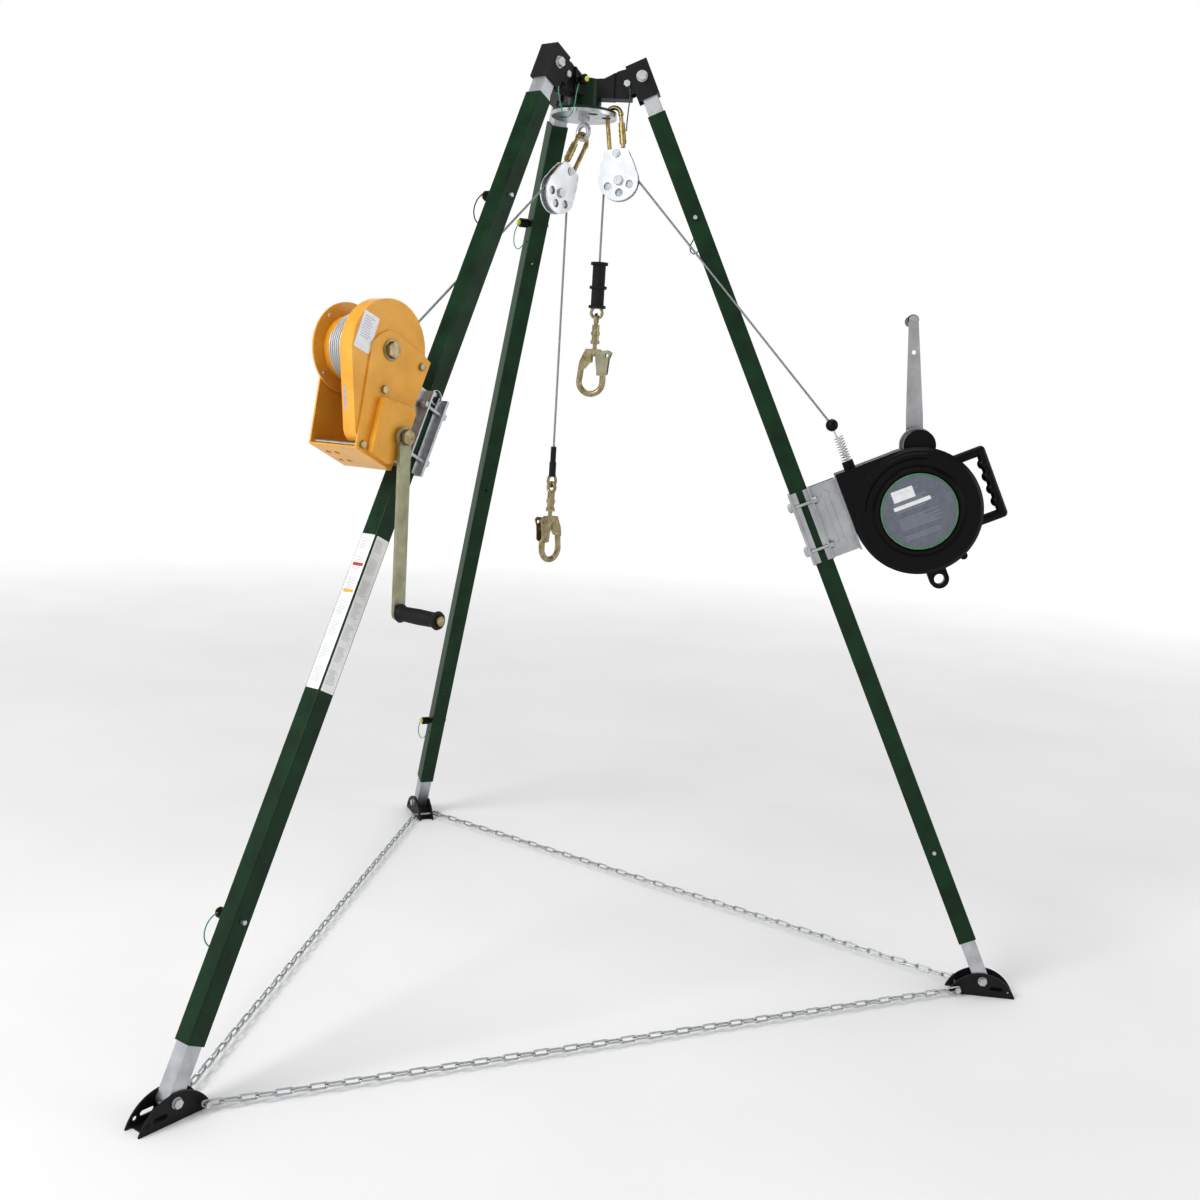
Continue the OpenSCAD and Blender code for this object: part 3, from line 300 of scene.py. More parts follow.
def pathFrames(path):
    frames = []
    side = None
    for i, p in enumerate(path):
        d = (path[min(i + 1, len(path) - 1)] - path[max(i - 1, 0)]).normalized()
        if side is None:
            side = d.orthogonal().normalized()
        side = (side - d * side.dot(d)).normalized()
        frames.append((p, side, d.cross(side)))
    return frames


def pathLength(path):
    return sum((Vector(b) - Vector(a)).length for a, b in zip(path[:-1], path[1:]))


centimetre = 0.01


# A laid rope: strands show as lobes that wind round the centre line, and its map counts centimetres along it
def ropeMesh(name, path, radius, strands, lay, sides, depth=0.1):
    verts, uvs = [], []
    run = 0.0
    for i, (p, side, up) in enumerate(pathFrames(path)):
        if i:
            run += (path[i] - path[i - 1]).length
        for k in range(sides):
            a = 2 * math.pi * k / sides
            lobe = abs(math.cos(strands * (a - 2 * math.pi * run / lay) / 2))
            r = radius * (1 - depth + depth * lobe)
            verts.append(p + r * (math.cos(a) * side + math.sin(a) * up))
            uvs.append((k / sides, run / centimetre))
    return meshPiece(name, verts, tubeFaces(len(path), sides), True, uvs)


# Lines, as the solids have them: each lies in an upright plane a little behind its leg
rigging = {"toe": 4.7, "lineRadius": 0.0025, "sheaveRadius": 0.034, "arcSteps": 24, "step": 0.0015,
           "strands": 7, "strandLay": 0.040, "strandDepth": 0.05, "sides": 21,
           "winchSheave": (0.07575, 1.8261158), "winchDrum": (0.190, 0.810), "windingRadius": 0.0675,
           "winchSettled": 0.34, "winchEnd": 1.253, "winchSleeve": 0.0702,
           "retrieverSheave": (0.0900847, 1.8677931), "ballStop": (0.125, 0.888), "ballRadius": 0.0145,
           "retrieverSettled": 0.22, "retrieverEnd": 1.683, "retrieverSleeve": 0.1042}
lineTurn = {leg: legTurn[leg] - rigging["toe"] for leg in ("left", "right")}


def rotated(v, angle):
    cosine, sine = math.cos(angle), math.sin(angle)
    return Vector((v.x * cosine - v.y * sine, v.x * sine + v.y * cosine))


# The way over the sheave and the straight run that touches it and the goal
def lineRoute(centre, goal, goalRadius):
    reach, steps = rigging["sheaveRadius"], rigging["arcSteps"]
    gap = goal - centre
    along = rotated(gap.normalized(), -math.asin((reach + goalRadius) / gap.length))
    off = rotated(along, math.pi / 2)
    first = centre + reach * off
    last = goal - goalRadius * off
    start = math.atan2(first.y - centre.y, first.x - centre.x)
    angles = [start + (math.pi - start) * k / steps for k in range(steps, -1, -1)]
    return [centre + reach * Vector((math.cos(a), math.sin(a))) for a in angles], first, last


def planePath(points, azimuth):
    return [turned(azimuth, p.x, 0, p.y) for p in points]


steelLines = []


def makeLine(node, leg, goal, goalRadius):
    azimuth, sheave = lineTurn[leg], rigging[node + "Sheave"]
    radius, step = rigging["lineRadius"], rigging["step"]
    arc, first, last = lineRoute(Vector(sheave), Vector(legSection(*goal)), goalRadius)
    middle = first.lerp(last, 0.5)
    over = resample(planePath(arc + [middle], azimuth), step)
    away = resample(planePath([middle, last], azimuth), step)
    low = resample([turned(azimuth, sheave[0] - rigging["sheaveRadius"], 0, height)
                    for height in (sheave[1], rigging[node + "End"])], step)
    pieces = [ropeMesh(node + part, path, radius, rigging["strands"], rigging["strandLay"], rigging["sides"],
                       rigging["strandDepth"])
              for part, path in (("LineRunLow", away), ("LineRunHigh", over), ("LineDrop", low))]
    runAway, runOver, hang = pieces
    # the line follows its leg before it passes beside the tube
    settled = first.lerp(last, rigging[node + "Settled"])
    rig.blend(runOver, "head", leg + "_top", *planePath([first, settled], azimuth))
    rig.blend(runAway, leg + "_top", leg + "_main", away[0], away[-1])
    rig.blend(hang, "head", node + "_end", low[0], low[-1])
    for piece, path in ((runAway, away), (runOver, over)):
        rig.replaces(piece, node + "_line")
        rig.cord(piece, exit=path[-1], length=pathLength(path), diameter=2 * radius, far_end="object",
                stiffness="stiff", lay="taut", path=path[::-1])
    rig.replaces(hang, node + "_drop")
    endPieces = [nodes[node + part] for part in ("_line_end", "_hook", "_hook_gate")]
    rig.cord(hang, exit=low[0], length=pathLength(low), diameter=2 * radius, far_end="fitting",
            stiffness="stiff", lay="hanging", path=low, with_pieces=endPieces)
    steelLines.extend(pieces)


makeLine("winch", "left", rigging["winchDrum"], rigging["windingRadius"])
makeLine("retriever", "right", rigging["ballStop"], 0.0)

# Lanyards of the locking pins: out, off the tube's side and down, in millimetres
lanyard = {"radius": 0.0013, "lay": 0.016, "steps": 14, "strands": 6, "sides": 18,
           "points": [(12.6, 17, 0), (17, 21, 8), (20, 25, 22), (19, 27, 38), (14, 27, 52), (6, 25, 62),
                      (-3, 21, 66), (-9, 16, 62), (-10, 11, 54), (-7, 7, 48), (-2, 3, 46), (0, 0.2, 46)],
           "inward": [(12.6, 17, 0), (8, 24, 10), (-6, 26, 24), (-22, 22, 36), (-34, 14, 48), (-37, 8, 60),
                      (-32, 6, 68), (-20, 5, 66), (-10, 4, 58), (-3, 2.5, 50), (0, 0.2, 46)]}
lanyardPieces = []
for leg, side in (("left", -1), ("right", 1), ("back", 1)):
    for level in ("upper", "lower"):
        down = tripod[level + "Pin"]
        points = lanyard["inward" if (leg, level) == ("right", "upper") else "points"]
        route = [legPoint(leg, n / 1000, side * (tripod["tubeHalf"] + t / 1000), down + s / 1000)
                 for n, t, s in reversed(points)]
        path = smoothPath(route, lanyard["steps"])
        piece = ropeMesh(leg + level.capitalize() + "Lanyard", path, lanyard["radius"], lanyard["strands"],
                         lanyard["lay"], lanyard["sides"])
        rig.blend(piece, leg + "_main", leg + "_" + level + "_pin", path[0], path[-1])
        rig.replaces(piece, leg + "_lanyards")
        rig.cord(piece, exit=path[0], length=pathLength(path), diameter=2 * lanyard["radius"],
                far_end="object", stiffness="limp", lay="hanging", path=path)
        lanyardPieces.append(piece)

# Spare pin's lanyard and a cut end of cord under the right arm: out, along and down, in millimetres
headCords = {"radius": 0.0014, "lay": 0.016, "steps": 16, "strands": 6, "sides": 18,
             "headLanyard": ("left", [(-71, 31, 1), (-70, 34, 12), (-72, 34, 28), (-80, 32, 47),
                                      (-83, 30, 70), (-75, 29, 86), (-60, 28, 88), (-46, 27, 76),
                                      (-34, 26.5, 65), (-26, 25.6, 55), (-23, 24.7, 45)]),
             "armCord": ("right", [(-36, -24.8, 10), (-37, -24.9, 20), (-43, -25, 34), (-56, -26, 58),
                                   (-70, -25, 84), (-76, -27, 98)])}
headCordPieces = []
for name in ("headLanyard", "armCord"):
    leg, points = headCords[name]
    path = smoothPath([legPoint(leg, n / 1000, t / 1000, d / 1000) for n, t, d in points], headCords["steps"])
    piece = ropeMesh(name, path, headCords["radius"], headCords["strands"], headCords["lay"],
                     headCords["sides"])
    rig.ride(piece, "head")
    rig.cord(piece, exit=path[0], length=pathLength(path), diameter=2 * headCords["radius"],
            far_end="object" if name == "headLanyard" else "bare", stiffness="limp", lay="hanging", path=path)
    headCordPieces.append(piece)
print("cords laid:", len(steelLines) + len(lanyardPieces) + len(headCordPieces))


# Colours are written as sRGB hex and turned to linear here
def hexColour(code):
    parts = [int(code[i:i + 2], 16) / 255 for i in (1, 3, 5)]
    return [c / 12.92 if c <= 0.04045 else ((c + 0.055) / 1.055) ** 2.4 for c in parts] + [1.0]


def addNode(mat, kind, settings=None, links=None):
    node = mat.node_tree.nodes.new(kind)
    for key, value in (settings or {}).items():
        if isinstance(key, int) or key in node.inputs.keys():
            node.inputs[key].default_value = value
        else:
            setattr(node, key, value)
    for socket, source in (links or {}).items():
        mat.node_tree.links.new(source, node.inputs[socket])
    return node


# An empty material and the places that its patterns can be fixed to
def newMaterial(name):
    mat = bpy.data.materials.new(name)
    mat.use_nodes = True
    mat.node_tree.nodes.clear()
    return mat, addNode(mat, "ShaderNodeTexCoord").outputs


def rampColour(mat, share, stops):
    node = addNode(mat, "ShaderNodeValToRGB", {}, {"Fac": share})
    ramp = node.color_ramp
    while len(ramp.elements) < len(stops):
        ramp.elements.new(0.5)
    for element, (place, colour) in zip(ramp.elements, stops):
        element.position = place
        element.color = hexColour(colour) if isinstance(colour, str) else (colour, colour, colour, 1)
    return node.outputs["Color"]


def noise(mat, vector, sizeMm, detail, roughness=0.5):
    settings = {"Scale": 1000 / sizeMm, "Detail": detail, "Roughness": roughness}
    return addNode(mat, "ShaderNodeTexNoise", settings, {"Vector": vector}).outputs["Fac"]


def spread(mat, value, low, high):
    settings = {"To Min": low, "To Max": high}
    return addNode(mat, "ShaderNodeMapRange", settings, {"Value": value}).outputs["Result"]


# Arithmetic on sockets and plain numbers
def calc(mat, operation, *terms):
    node = addNode(mat, "ShaderNodeMath", {"operation": operation})
    for slot, term in enumerate(terms):
        if isinstance(term, bpy.types.NodeSocket):
            mat.node_tree.links.new(term, node.inputs[slot])
        else:
            node.inputs[slot].default_value = term
    return node.outputs["Value"]


def mixed(mat, share, under, code):
    node = addNode(mat, "ShaderNodeMix", {"data_type": "RGBA"}, {"Factor": share, "A": under})
    node.inputs["B"].default_value = hexColour(code)
    return node.outputs["Result"]


def roundedEdge(mat, edgeMm):
    return addNode(mat, "ShaderNodeBevel", {"samples": 4, "Radius": edgeMm / 1000}).outputs["Normal"]


def bumped(mat, height, strength, depth, normal=None):
    links = {"Height": height}
    if normal is not None:
        links["Normal"] = normal
    return addNode(mat, "ShaderNodeBump", {"Strength": strength, "Distance": depth}, links).outputs["Normal"]


# Fine bands across a rope's strands, laid on the slant
def slantBands(mat, place, turn, around, bandMm, distortion):
    slope = {"Rotation": (0, 0, math.radians(turn)), "Scale": (around, 10.0 / bandMm, 1.0)}
    slant = addNode(mat, "ShaderNodeMapping", slope, {"Vector": place["UV"]}).outputs["Vector"]
    bands = {"Scale": 0.5, "Distortion": distortion, "bands_direction": "Y"}
    return addNode(mat, "ShaderNodeTexWave", bands, {"Vector": slant}).outputs["Fac"]


def surfaced(mat, settings, links):
    shader = addNode(mat, "ShaderNodeBsdfPrincipled", settings, links)
    addNode(mat, "ShaderNodeOutputMaterial", {}, {"Surface": shader.outputs["BSDF"]})
    return mat


# Paint sprayed on metal and baked: soft orange peel, slight mottle, and bare metal where corners are rubbed
def sprayedPaint(name, paint):
    mat, place = newMaterial(name)
    peel = noise(mat, place["Object"], paint["peelMm"], 2.0, 0.45)
    mottle = noise(mat, place["Object"], paint["mottleMm"], 5.0, 0.6)
    tone = rampColour(mat, mottle, [(0.3, paint["dark"]), (0.52, paint["base"]), (0.75, paint["light"])])
    rounded = roundedEdge(mat, paint["edgeMm"])
    flat = addNode(mat, "ShaderNodeNewGeometry").outputs["Normal"]
    bend = addNode(mat, "ShaderNodeVectorMath", {"operation": "DOT_PRODUCT"}, {0: rounded, 1: flat})
    edge = addNode(mat, "ShaderNodeMapRange", {"From Min": 0.985, "From Max": 0.80},
                   {"Value": bend.outputs["Value"]})
    chips = rampColour(mat, noise(mat, place["Object"], paint["chipMm"], 6.0, 0.7),
                       [(paint["chipFrom"], 0.0), (paint["chipFrom"] + 0.05, 1.0)])
    worn = calc(mat, "MULTIPLY", edge.outputs["Result"], chips)
    colour = mixed(mat, worn, tone, paint["under"])
    gloss = spread(mat, mottle, paint["roughness"] - 0.07, paint["roughness"] + 0.07)
    normal = bumped(mat, peel, paint["bump"], 0.0004, rounded)
    film = {"IOR": 1.5, "Specular IOR Level": paint["specular"], "Coat Weight": paint["coat"],
            "Coat Roughness": 0.12}
    return surfaced(mat, film, {"Base Color": colour, "Roughness": gloss, "Normal": normal})


# Bare and plated metals: drawn or brushed grain along one direction, fine pitting and a little tarnish
def workedMetal(name, metal):
    mat, place = newMaterial(name)
    stretch = addNode(mat, "ShaderNodeMapping", {"Scale": metal["grain"]}, {"Vector": place["Object"]})
    grain = noise(mat, stretch.outputs["Vector"], metal["grainMm"], 3.0, 0.6)
    cloud = noise(mat, place["Object"], metal["cloudMm"], 4.0, 0.55)
    tone = rampColour(mat, cloud, [(0.3, metal["dark"]), (0.5, metal["base"]), (0.72, metal["light"])])
    rough = spread(mat, grain, metal["roughness"] - 0.08, metal["roughness"] + 0.1)
    normal = bumped(mat, grain, metal["bump"], 0.0002, roundedEdge(mat, metal["edgeMm"]))
    return surfaced(mat, {"Metallic": metal["metallic"]},
                    {"Base Color": tone, "Roughness": rough, "Normal": normal})


# Moulded plastic and rubber: a fine spark-eroded grain in the skin and a slight bloom
def mouldedPlastic(name, plastic):
    mat, place = newMaterial(name)
    grain = addNode(mat, "ShaderNodeTexVoronoi", {"Scale": 1000 / plastic["grainMm"], "Randomness": 1.0},
                    {"Vector": place["Object"]})
    bloom = noise(mat, place["Object"], plastic["bloomMm"], 4.0, 0.6)
    tone = rampColour(mat, bloom, [(0.3, plastic["dark"]), (0.7, plastic["light"])])
    rough = spread(mat, bloom, plastic["roughness"] - 0.06, plastic["roughness"] + 0.08)
    normal = bumped(mat, grain.outputs["Distance"], plastic["bump"], 0.0003,
                    roundedEdge(mat, plastic["edgeMm"]))
    return surfaced(mat, {"IOR": plastic["ior"], "Specular IOR Level": plastic["specular"]},
                    {"Base Color": tone, "Roughness": rough, "Normal": normal})


# The orange peel is about 1 mm on the real paint, drawn coarser so that it shows
greenPowderCoat = sprayedPaint("greenPowderCoat", {
    "dark": "#0A2814", "base": "#0F361B", "light": "#144022", "under": "#8A8F8A", "peelMm": 3.0,
    "mottleMm": 60, "edgeMm": 1.2, "chipMm": 9, "chipFrom": 0.62, "roughness": 0.34, "bump": 0.25,
    "specular": 0.32, "coat": 0.0})
blackPowderCoat = sprayedPaint("blackPowderCoat", {
    "dark": "#171618", "base": "#1D1B1E", "light": "#252326", "under": "#8D8D8E", "peelMm": 2.5,
    "mottleMm": 40, "edgeMm": 1.0, "chipMm": 7, "chipFrom": 0.6, "roughness": 0.46, "bump": 0.3,
    "specular": 0.32, "coat": 0.0})
yellowEnamel = sprayedPaint("yellowEnamel", {
    "dark": "#DA9F34", "base": "#E3A93F", "light": "#EAB44C", "under": "#B8B4A6", "peelMm": 4.0,
    "mottleMm": 50, "edgeMm": 1.2, "chipMm": 8, "chipFrom": 0.66, "roughness": 0.32, "bump": 0.18,
    "specular": 0.5, "coat": 0.25})
greenEnamel = sprayedPaint("greenEnamel", {
    "dark": "#3F8A50", "base": "#4B9A5A", "light": "#5AA869", "under": "#C8CCC8", "peelMm": 2.0,
    "mottleMm": 20, "edgeMm": 0.3, "chipMm": 5, "chipFrom": 0.75, "roughness": 0.35, "bump": 0.1,
    "specular": 0.5, "coat": 0.0})
# Extruded and clear anodised: long die lines down the tube
anodisedAluminium = workedMetal("anodisedAluminium", {
    "dark": "#B4B7BA", "base": "#C4C6C9", "light": "#D0D2D4", "grain": (1.0, 1.0, 0.08), "grainMm": 1.5,
    "cloudMm": 35, "roughness": 0.38, "bump": 0.2, "edgeMm": 0.8, "metallic": 0.9})
turnedAluminium = workedMetal("turnedAluminium", {
    "dark": "#A9ACB0", "base": "#BEC1C4", "light": "#D0D2D5", "grain": (1.0, 1.0, 1.0), "grainMm": 0.9,
    "cloudMm": 18, "roughness": 0.33, "bump": 0.15, "edgeMm": 0.6, "metallic": 1.0})
# Zinc dipped or plated: pale grey with cloudy spangle
galvanisedSteel = workedMetal("galvanisedSteel", {
    "dark": "#B8BBBE", "base": "#C6C9CC", "light": "#D2D5D7", "grain": (1.0, 1.0, 1.0), "grainMm": 2.0,
    "cloudMm": 12, "roughness": 0.37, "bump": 0.15, "edgeMm": 0.6, "metallic": 0.9})
# Passivated zinc: gold on the carabiners, duller on the snap hooks and bolts, olive on the crank
yellowZinc = workedMetal("yellowZinc", {
    "dark": "#9C8A62", "base": "#BCA878", "light": "#CFC199", "grain": (1.0, 1.0, 1.0), "grainMm": 2.0,
    "cloudMm": 12, "roughness": 0.33, "bump": 0.12, "edgeMm": 0.8, "metallic": 1.0})
snapZinc = workedMetal("snapZinc", {
    "dark": "#8B8063", "base": "#A99D7E", "light": "#C2B798", "grain": (1.0, 1.0, 1.0), "grainMm": 2.0,
    "cloudMm": 14, "roughness": 0.36, "bump": 0.12, "edgeMm": 0.8, "metallic": 1.0})
oliveZinc = workedMetal("oliveZinc", {
    "dark": "#94937C", "base": "#A3A28B", "light": "#AFAE98", "grain": (0.2, 0.2, 1.0), "grainMm": 2.0,
    "cloudMm": 25, "roughness": 0.42, "bump": 0.12, "edgeMm": 0.8, "metallic": 0.85})
castAluminium = workedMetal("castAluminium", {
    "dark": "#D2D4D6", "base": "#DDDFE1", "light": "#E6E8EA", "grain": (1.0, 1.0, 1.0), "grainMm": 1.4,
    "cloudMm": 45, "roughness": 0.36, "bump": 0.15, "edgeMm": 0.9, "metallic": 1.0})
brushedSteel = workedMetal("brushedSteel", {
    "dark": "#A9ABAE", "base": "#B8BABC", "light": "#C6C8CA", "grain": (1.0, 1.0, 0.06), "grainMm": 1.2,
    "cloudMm": 60, "roughness": 0.30, "bump": 0.18, "edgeMm": 0.8, "metallic": 1.0})
springSteel = workedMetal("springSteel", {
    "dark": "#B5B8BA", "base": "#CBCED0", "light": "#DDDFE0", "grain": (1.0, 1.0, 1.0), "grainMm": 0.8,
    "cloudMm": 6, "roughness": 0.25, "bump": 0.1, "edgeMm": 0.3, "metallic": 1.0})
blackAbs = mouldedPlastic("blackAbs", {
    "dark": "#070708", "light": "#0C0C0D", "grainMm": 1.6, "bloomMm": 45, "roughness": 0.36, "bump": 0.12,
    "edgeMm": 2.0, "ior": 1.53, "specular": 0.2})
blackRubber = mouldedPlastic("blackRubber", {
    "dark": "#121112", "light": "#1A191B", "grainMm": 1.2, "bloomMm": 20, "roughness": 0.62, "bump": 0.2,
    "edgeMm": 1.0, "ior": 1.52, "specular": 0.4})
limeAbs = mouldedPlastic("limeAbs", {
    "dark": "#BCC23A", "light": "#D0D455", "grainMm": 0.8, "bloomMm": 10, "roughness": 0.4, "bump": 0.08,
    "edgeMm": 0.8, "ior": 1.53, "specular": 0.5})


# Wire rope laid from galvanised strands: thin wires cross each strand on the slant
def strandedWire(name, rope):
    mat, place = newMaterial(name)
    wires = slantBands(mat, place, 24, 14.0, rope["wireMm"], 0.4)
    tone = rampColour(mat, wires, [(0.1, rope["dark"]), (0.45, rope["base"]), (0.9, rope["light"])])
    return surfaced(mat, {"Metallic": 0.8, "Roughness": 0.5},
                    {"Base Color": tone, "Normal": bumped(mat, wires, 0.3, 0.0002)})


# Braided polyester cord: two sets of yarns cross, with a soft sheen
def braidedCord(name, cord):
    mat, place = newMaterial(name)
    yarns = [slantBands(mat, place, turn, 8.0, cord["yarnMm"], 0.6) for turn in (38, -38)]
    weave = calc(mat, "MAXIMUM", *yarns)
    tone = rampColour(mat, weave, [(0.35, cord["dark"]), (0.7, cord["base"]), (0.95, cord["light"])])
    return surfaced(mat, {"Roughness": 0.7, "Sheen Weight": 0.3, "Sheen Roughness": 0.5, "IOR": 1.5},
                    {"Base Color": tone, "Normal": bumped(mat, weave, 0.6, 0.0003)})


# Printed vinyl sticker: satin film with blocks of fine lines of uneven length, no lettering
def printedVinyl(name, label):
    mat, place = newMaterial(name)
    split = addNode(mat, "ShaderNodeSeparateXYZ", {}, {"Vector": place["UV"]}).outputs
    rows = calc(mat, "MULTIPLY", split["Y"], label["rows"])
    bar = calc(mat, "LESS_THAN", calc(mat, "FRACT", rows), label["barShare"])
    block = calc(mat, "FRACT", calc(mat, "MULTIPLY", split["Y"], label["blocks"]))
    pastGap = calc(mat, "GREATER_THAN", block, label["gapShare"])
    chance = addNode(mat, "ShaderNodeTexWhiteNoise", {"noise_dimensions": "1D"},
                     {"W": calc(mat, "FLOOR", rows)})
    reach = spread(mat, chance.outputs["Value"], 0.55, 1.0 - label["margin"])
    inX = calc(mat, "MULTIPLY", calc(mat, "LESS_THAN", split["X"], reach),
               calc(mat, "GREATER_THAN", split["X"], label["margin"]))
    inY = calc(mat, "COMPARE", split["Y"], 0.5, 0.5 - label["marginY"])
    ink = calc(mat, "MULTIPLY", calc(mat, "MULTIPLY", bar, pastGap), calc(mat, "MULTIPLY", inX, inY))
    scuff = noise(mat, place["Object"], label["scuffMm"], 4.0)
    paper = rampColour(mat, scuff, [(0.3, label["film"]), (0.7, label["filmLight"])])
    colour = mixed(mat, ink, paper, label["ink"])
    normal = bumped(mat, scuff, 0.1, 0.0002)
    return surfaced(mat, {"Roughness": 0.35, "IOR": 1.5}, {"Base Color": colour, "Normal": normal})


# Real wires are 0.3 mm thick, drawn coarser
wireRope = strandedWire("galvanisedWireRope", {
    "wireMm": 1.1, "dark": "#8B8E90", "base": "#9A9D9F", "light": "#A9ACAE"})
brightRope = strandedWire("brightWireRope", {
    "wireMm": 1.1, "dark": "#ABAEB0", "base": "#C4C7C9", "light": "#D8DADB"})
greenCord = braidedCord("greenPolyesterCord", {
    "dark": "#1F6B4E", "base": "#3D9A78", "light": "#6CBF9E", "yarnMm": 1.6})
darkCord = braidedCord("darkPolyesterCord", {
    "dark": "#16382A", "base": "#24523F", "light": "#3C7158", "yarnMm": 1.6})
blackCord = braidedCord("blackPolyesterCord", {
    "dark": "#0E1110", "base": "#191D1B", "light": "#2A302D", "yarnMm": 1.6})
# Small films are all but bare, and the others add their own rows of lines
smallFilm = {"rows": 2, "barShare": 0.2, "blocks": 1, "gapShare": 0.5, "margin": 0.1, "marginY": 0.2,
             "scuffMm": 14}
legVinyl = printedVinyl("legVinyl", smallFilm | {
    "film": "#E6E7E6", "filmLight": "#F0F0EF", "ink": "#B9BCBF", "rows": 104, "barShare": 0.34, "blocks": 7,
    "gapShare": 0.3, "margin": 0.14, "marginY": 0.02})
stickerVinyl = printedVinyl("stickerVinyl", smallFilm | {
    "film": "#DDE0E4", "filmLight": "#E9EBEE", "ink": "#B4B6C2", "rows": 15, "barShare": 0.3, "gapShare": 0.3,
    "margin": 0.16, "marginY": 0.1})
faceVinyl = printedVinyl("faceVinyl", smallFilm | {
    "film": "#666B76", "filmLight": "#717682", "ink": "#8A8F99", "rows": 40, "barShare": 0.35, "blocks": 4,
    "gapShare": 0.25, "margin": 0.2, "marginY": 0.16})
redVinyl = printedVinyl("redVinyl", smallFilm | {
    "film": "#B8433C", "filmLight": "#C4504A", "ink": "#A63A35"})
yellowVinyl = printedVinyl("yellowVinyl", smallFilm | {
    "film": "#D9B23E", "filmLight": "#E2BD50", "ink": "#C9A236"})
lilacVinyl = printedVinyl("lilacVinyl", smallFilm | {
    "film": "#A9A2C4", "filmLight": "#B8B2D0", "ink": "#9C95BA", "rows": 4, "barShare": 0.25, "gapShare": 0.2,
    "margin": 0.15, "marginY": 0.1})
bareVinyl = printedVinyl("bareVinyl", smallFilm | {
    "film": "#D6D8DA", "filmLight": "#E4E5E6", "ink": "#C6C8CA", "rows": 3, "barShare": 0.12})
print("materials mixed")


# Materials of a node: the first for every face, or for each face the one that is picked by its middle
def finishNode(name, *mats, pick=None):
    mesh = nodes[name].data
    mesh.materials.clear()
    for mat in mats:
        mesh.materials.append(mat)
    chosen = [pick(poly.center) if pick else 0 for poly in mesh.polygons]
    mesh.polygons.foreach_set("material_index", chosen)


# Faces that lie between two distances to the side of a leg
def sidePick(leg, low, high=math.inf):
    return lambda c: int(low < (legInverse[leg] @ c).y < high)


# Head
plateTop = tripod["pivotHeight"] - tripod["plateDrop"] + tripod["plateStep"]
finishNode("head_plate", turnedAluminium, greenPowderCoat, pick=lambda c: int(c.z > plateTop))
finishNode("head_arms", blackPowderCoat, greenPowderCoat,
           pick=lambda c: int(c.xy.length < tripod["hubRadius"]))
finishNode("leg_clevises", blackPowderCoat)
for name in ("head_fasteners", "eye_bolt"):
    finishNode(name, galvanisedSteel)
for name in ("carabiners", "winch_carabiner_gate", "retriever_carabiner_gate"):
    finishNode(name, yellowZinc)
finishNode("pulley_cheeks", castAluminium)
for name in ("winch_sheave", "retriever_sheave"):
    finishNode(name, turnedAluminium)

# Legs
footBolts = {"shaft": 0.0061, "chainOut": -0.058, "chainHeight": 0.016, "chainShaft": 0.0031,
             "outside": 0.0228, "between": 0.0185}
lockPin = {"collar": 0.00095, "button": 0.0262}


# Bolt heads outside the foot's plates and the shafts between them
def footPick(leg):
    footAt = turned(legTurn[leg], tripod["footRadius"], 0, tripod["footHeight"])

    def pick(c):
        off = turned(-legTurn[leg], (c - footAt).x, (c - footAt).y, 0)
        chainOff = math.hypot(off.x - footBolts["chainOut"], c.z - footBolts["chainHeight"])
        shaft = abs(off.x) < footBolts["shaft"] or chainOff < footBolts["chainShaft"]
        return int(abs(off.y) > footBolts["outside"] or (shaft and abs(off.y) < footBolts["between"]))

    return pick


# Bare shaft, black knob on one side of the leg and the button in its end
def pinPick(leg):
    def pick(c):
        across = (legInverse[leg] @ c).y
        off = abs(across) - tripod["tubeHalf"]
        if off > lockPin["button"]:
            return 2
        return int(off > lockPin["collar"] and (across < 0) == (leg == "left"))

    return pick


for leg in legTurn:
    finishNode(leg + "_upper_tube", anodisedAluminium)
    finishNode(leg + "_lower_tube", anodisedAluminium)
    finishNode(leg + "_main_tube", greenPowderCoat)
    finishNode(leg + "_foot", blackPowderCoat, galvanisedSteel, pick=footPick(leg))
    for level in ("upper", "lower"):
        finishNode(leg + "_" + level + "_pin", galvanisedSteel, blackAbs, limeAbs, pick=pinPick(leg))
for name in ("chain_front", "chain_right", "chain_left"):
    finishNode(name, galvanisedSteel)

# Winch
winchFaces = {"boltHeads": 0.045, "armFrom": 0.0815, "armTo": 0.0905}
for name in ("winch_frame", "winch_covers", "winch_drum"):
    finishNode(name, yellowEnamel)
for name in ("winch_clamp", "winch_winding", "winch_idler"):
    finishNode(name, galvanisedSteel)
finishNode("winch_fasteners", galvanisedSteel, snapZinc, pick=sidePick("left", winchFaces["boltHeads"]))
finishNode("winch_crank", snapZinc, oliveZinc,
           pick=sidePick("left", winchFaces["armFrom"], winchFaces["armTo"]))
finishNode("winch_grip", blackRubber)


# Line ends and hooks: rubber sleeves above the swivel eyes
def belowPick(height):
    return lambda c: int(c.z < height)


for node in ("winch", "retriever"):
    finishNode(node + "_line_end", blackRubber, snapZinc,
               pick=belowPick(rigging[node + "End"] - rigging[node + "Sleeve"]))
for name in ("winch_hook", "winch_hook_gate", "retriever_hook"):
    finishNode(name, snapZinc)
finishNode("retriever_hook_gate", oliveZinc)

# Retriever
knobSide = 0.0496
ballPlace = Vector(legSection(*rigging["ballStop"]))
ballAt = turned(lineTurn["right"], ballPlace.x, 0, ballPlace.y)
finishNode("retriever_clamp", brushedSteel)
finishNode("retriever_face", galvanisedSteel)
for name in ("retriever_housing", "retriever_handle"):
    finishNode(name, blackAbs)
finishNode("retriever_crank", brushedSteel, blackAbs, pick=sidePick("right", knobSide))
finishNode("retriever_spring", springSteel, blackAbs,
           pick=lambda c: int((c - ballAt).length < rigging["ballRadius"]))

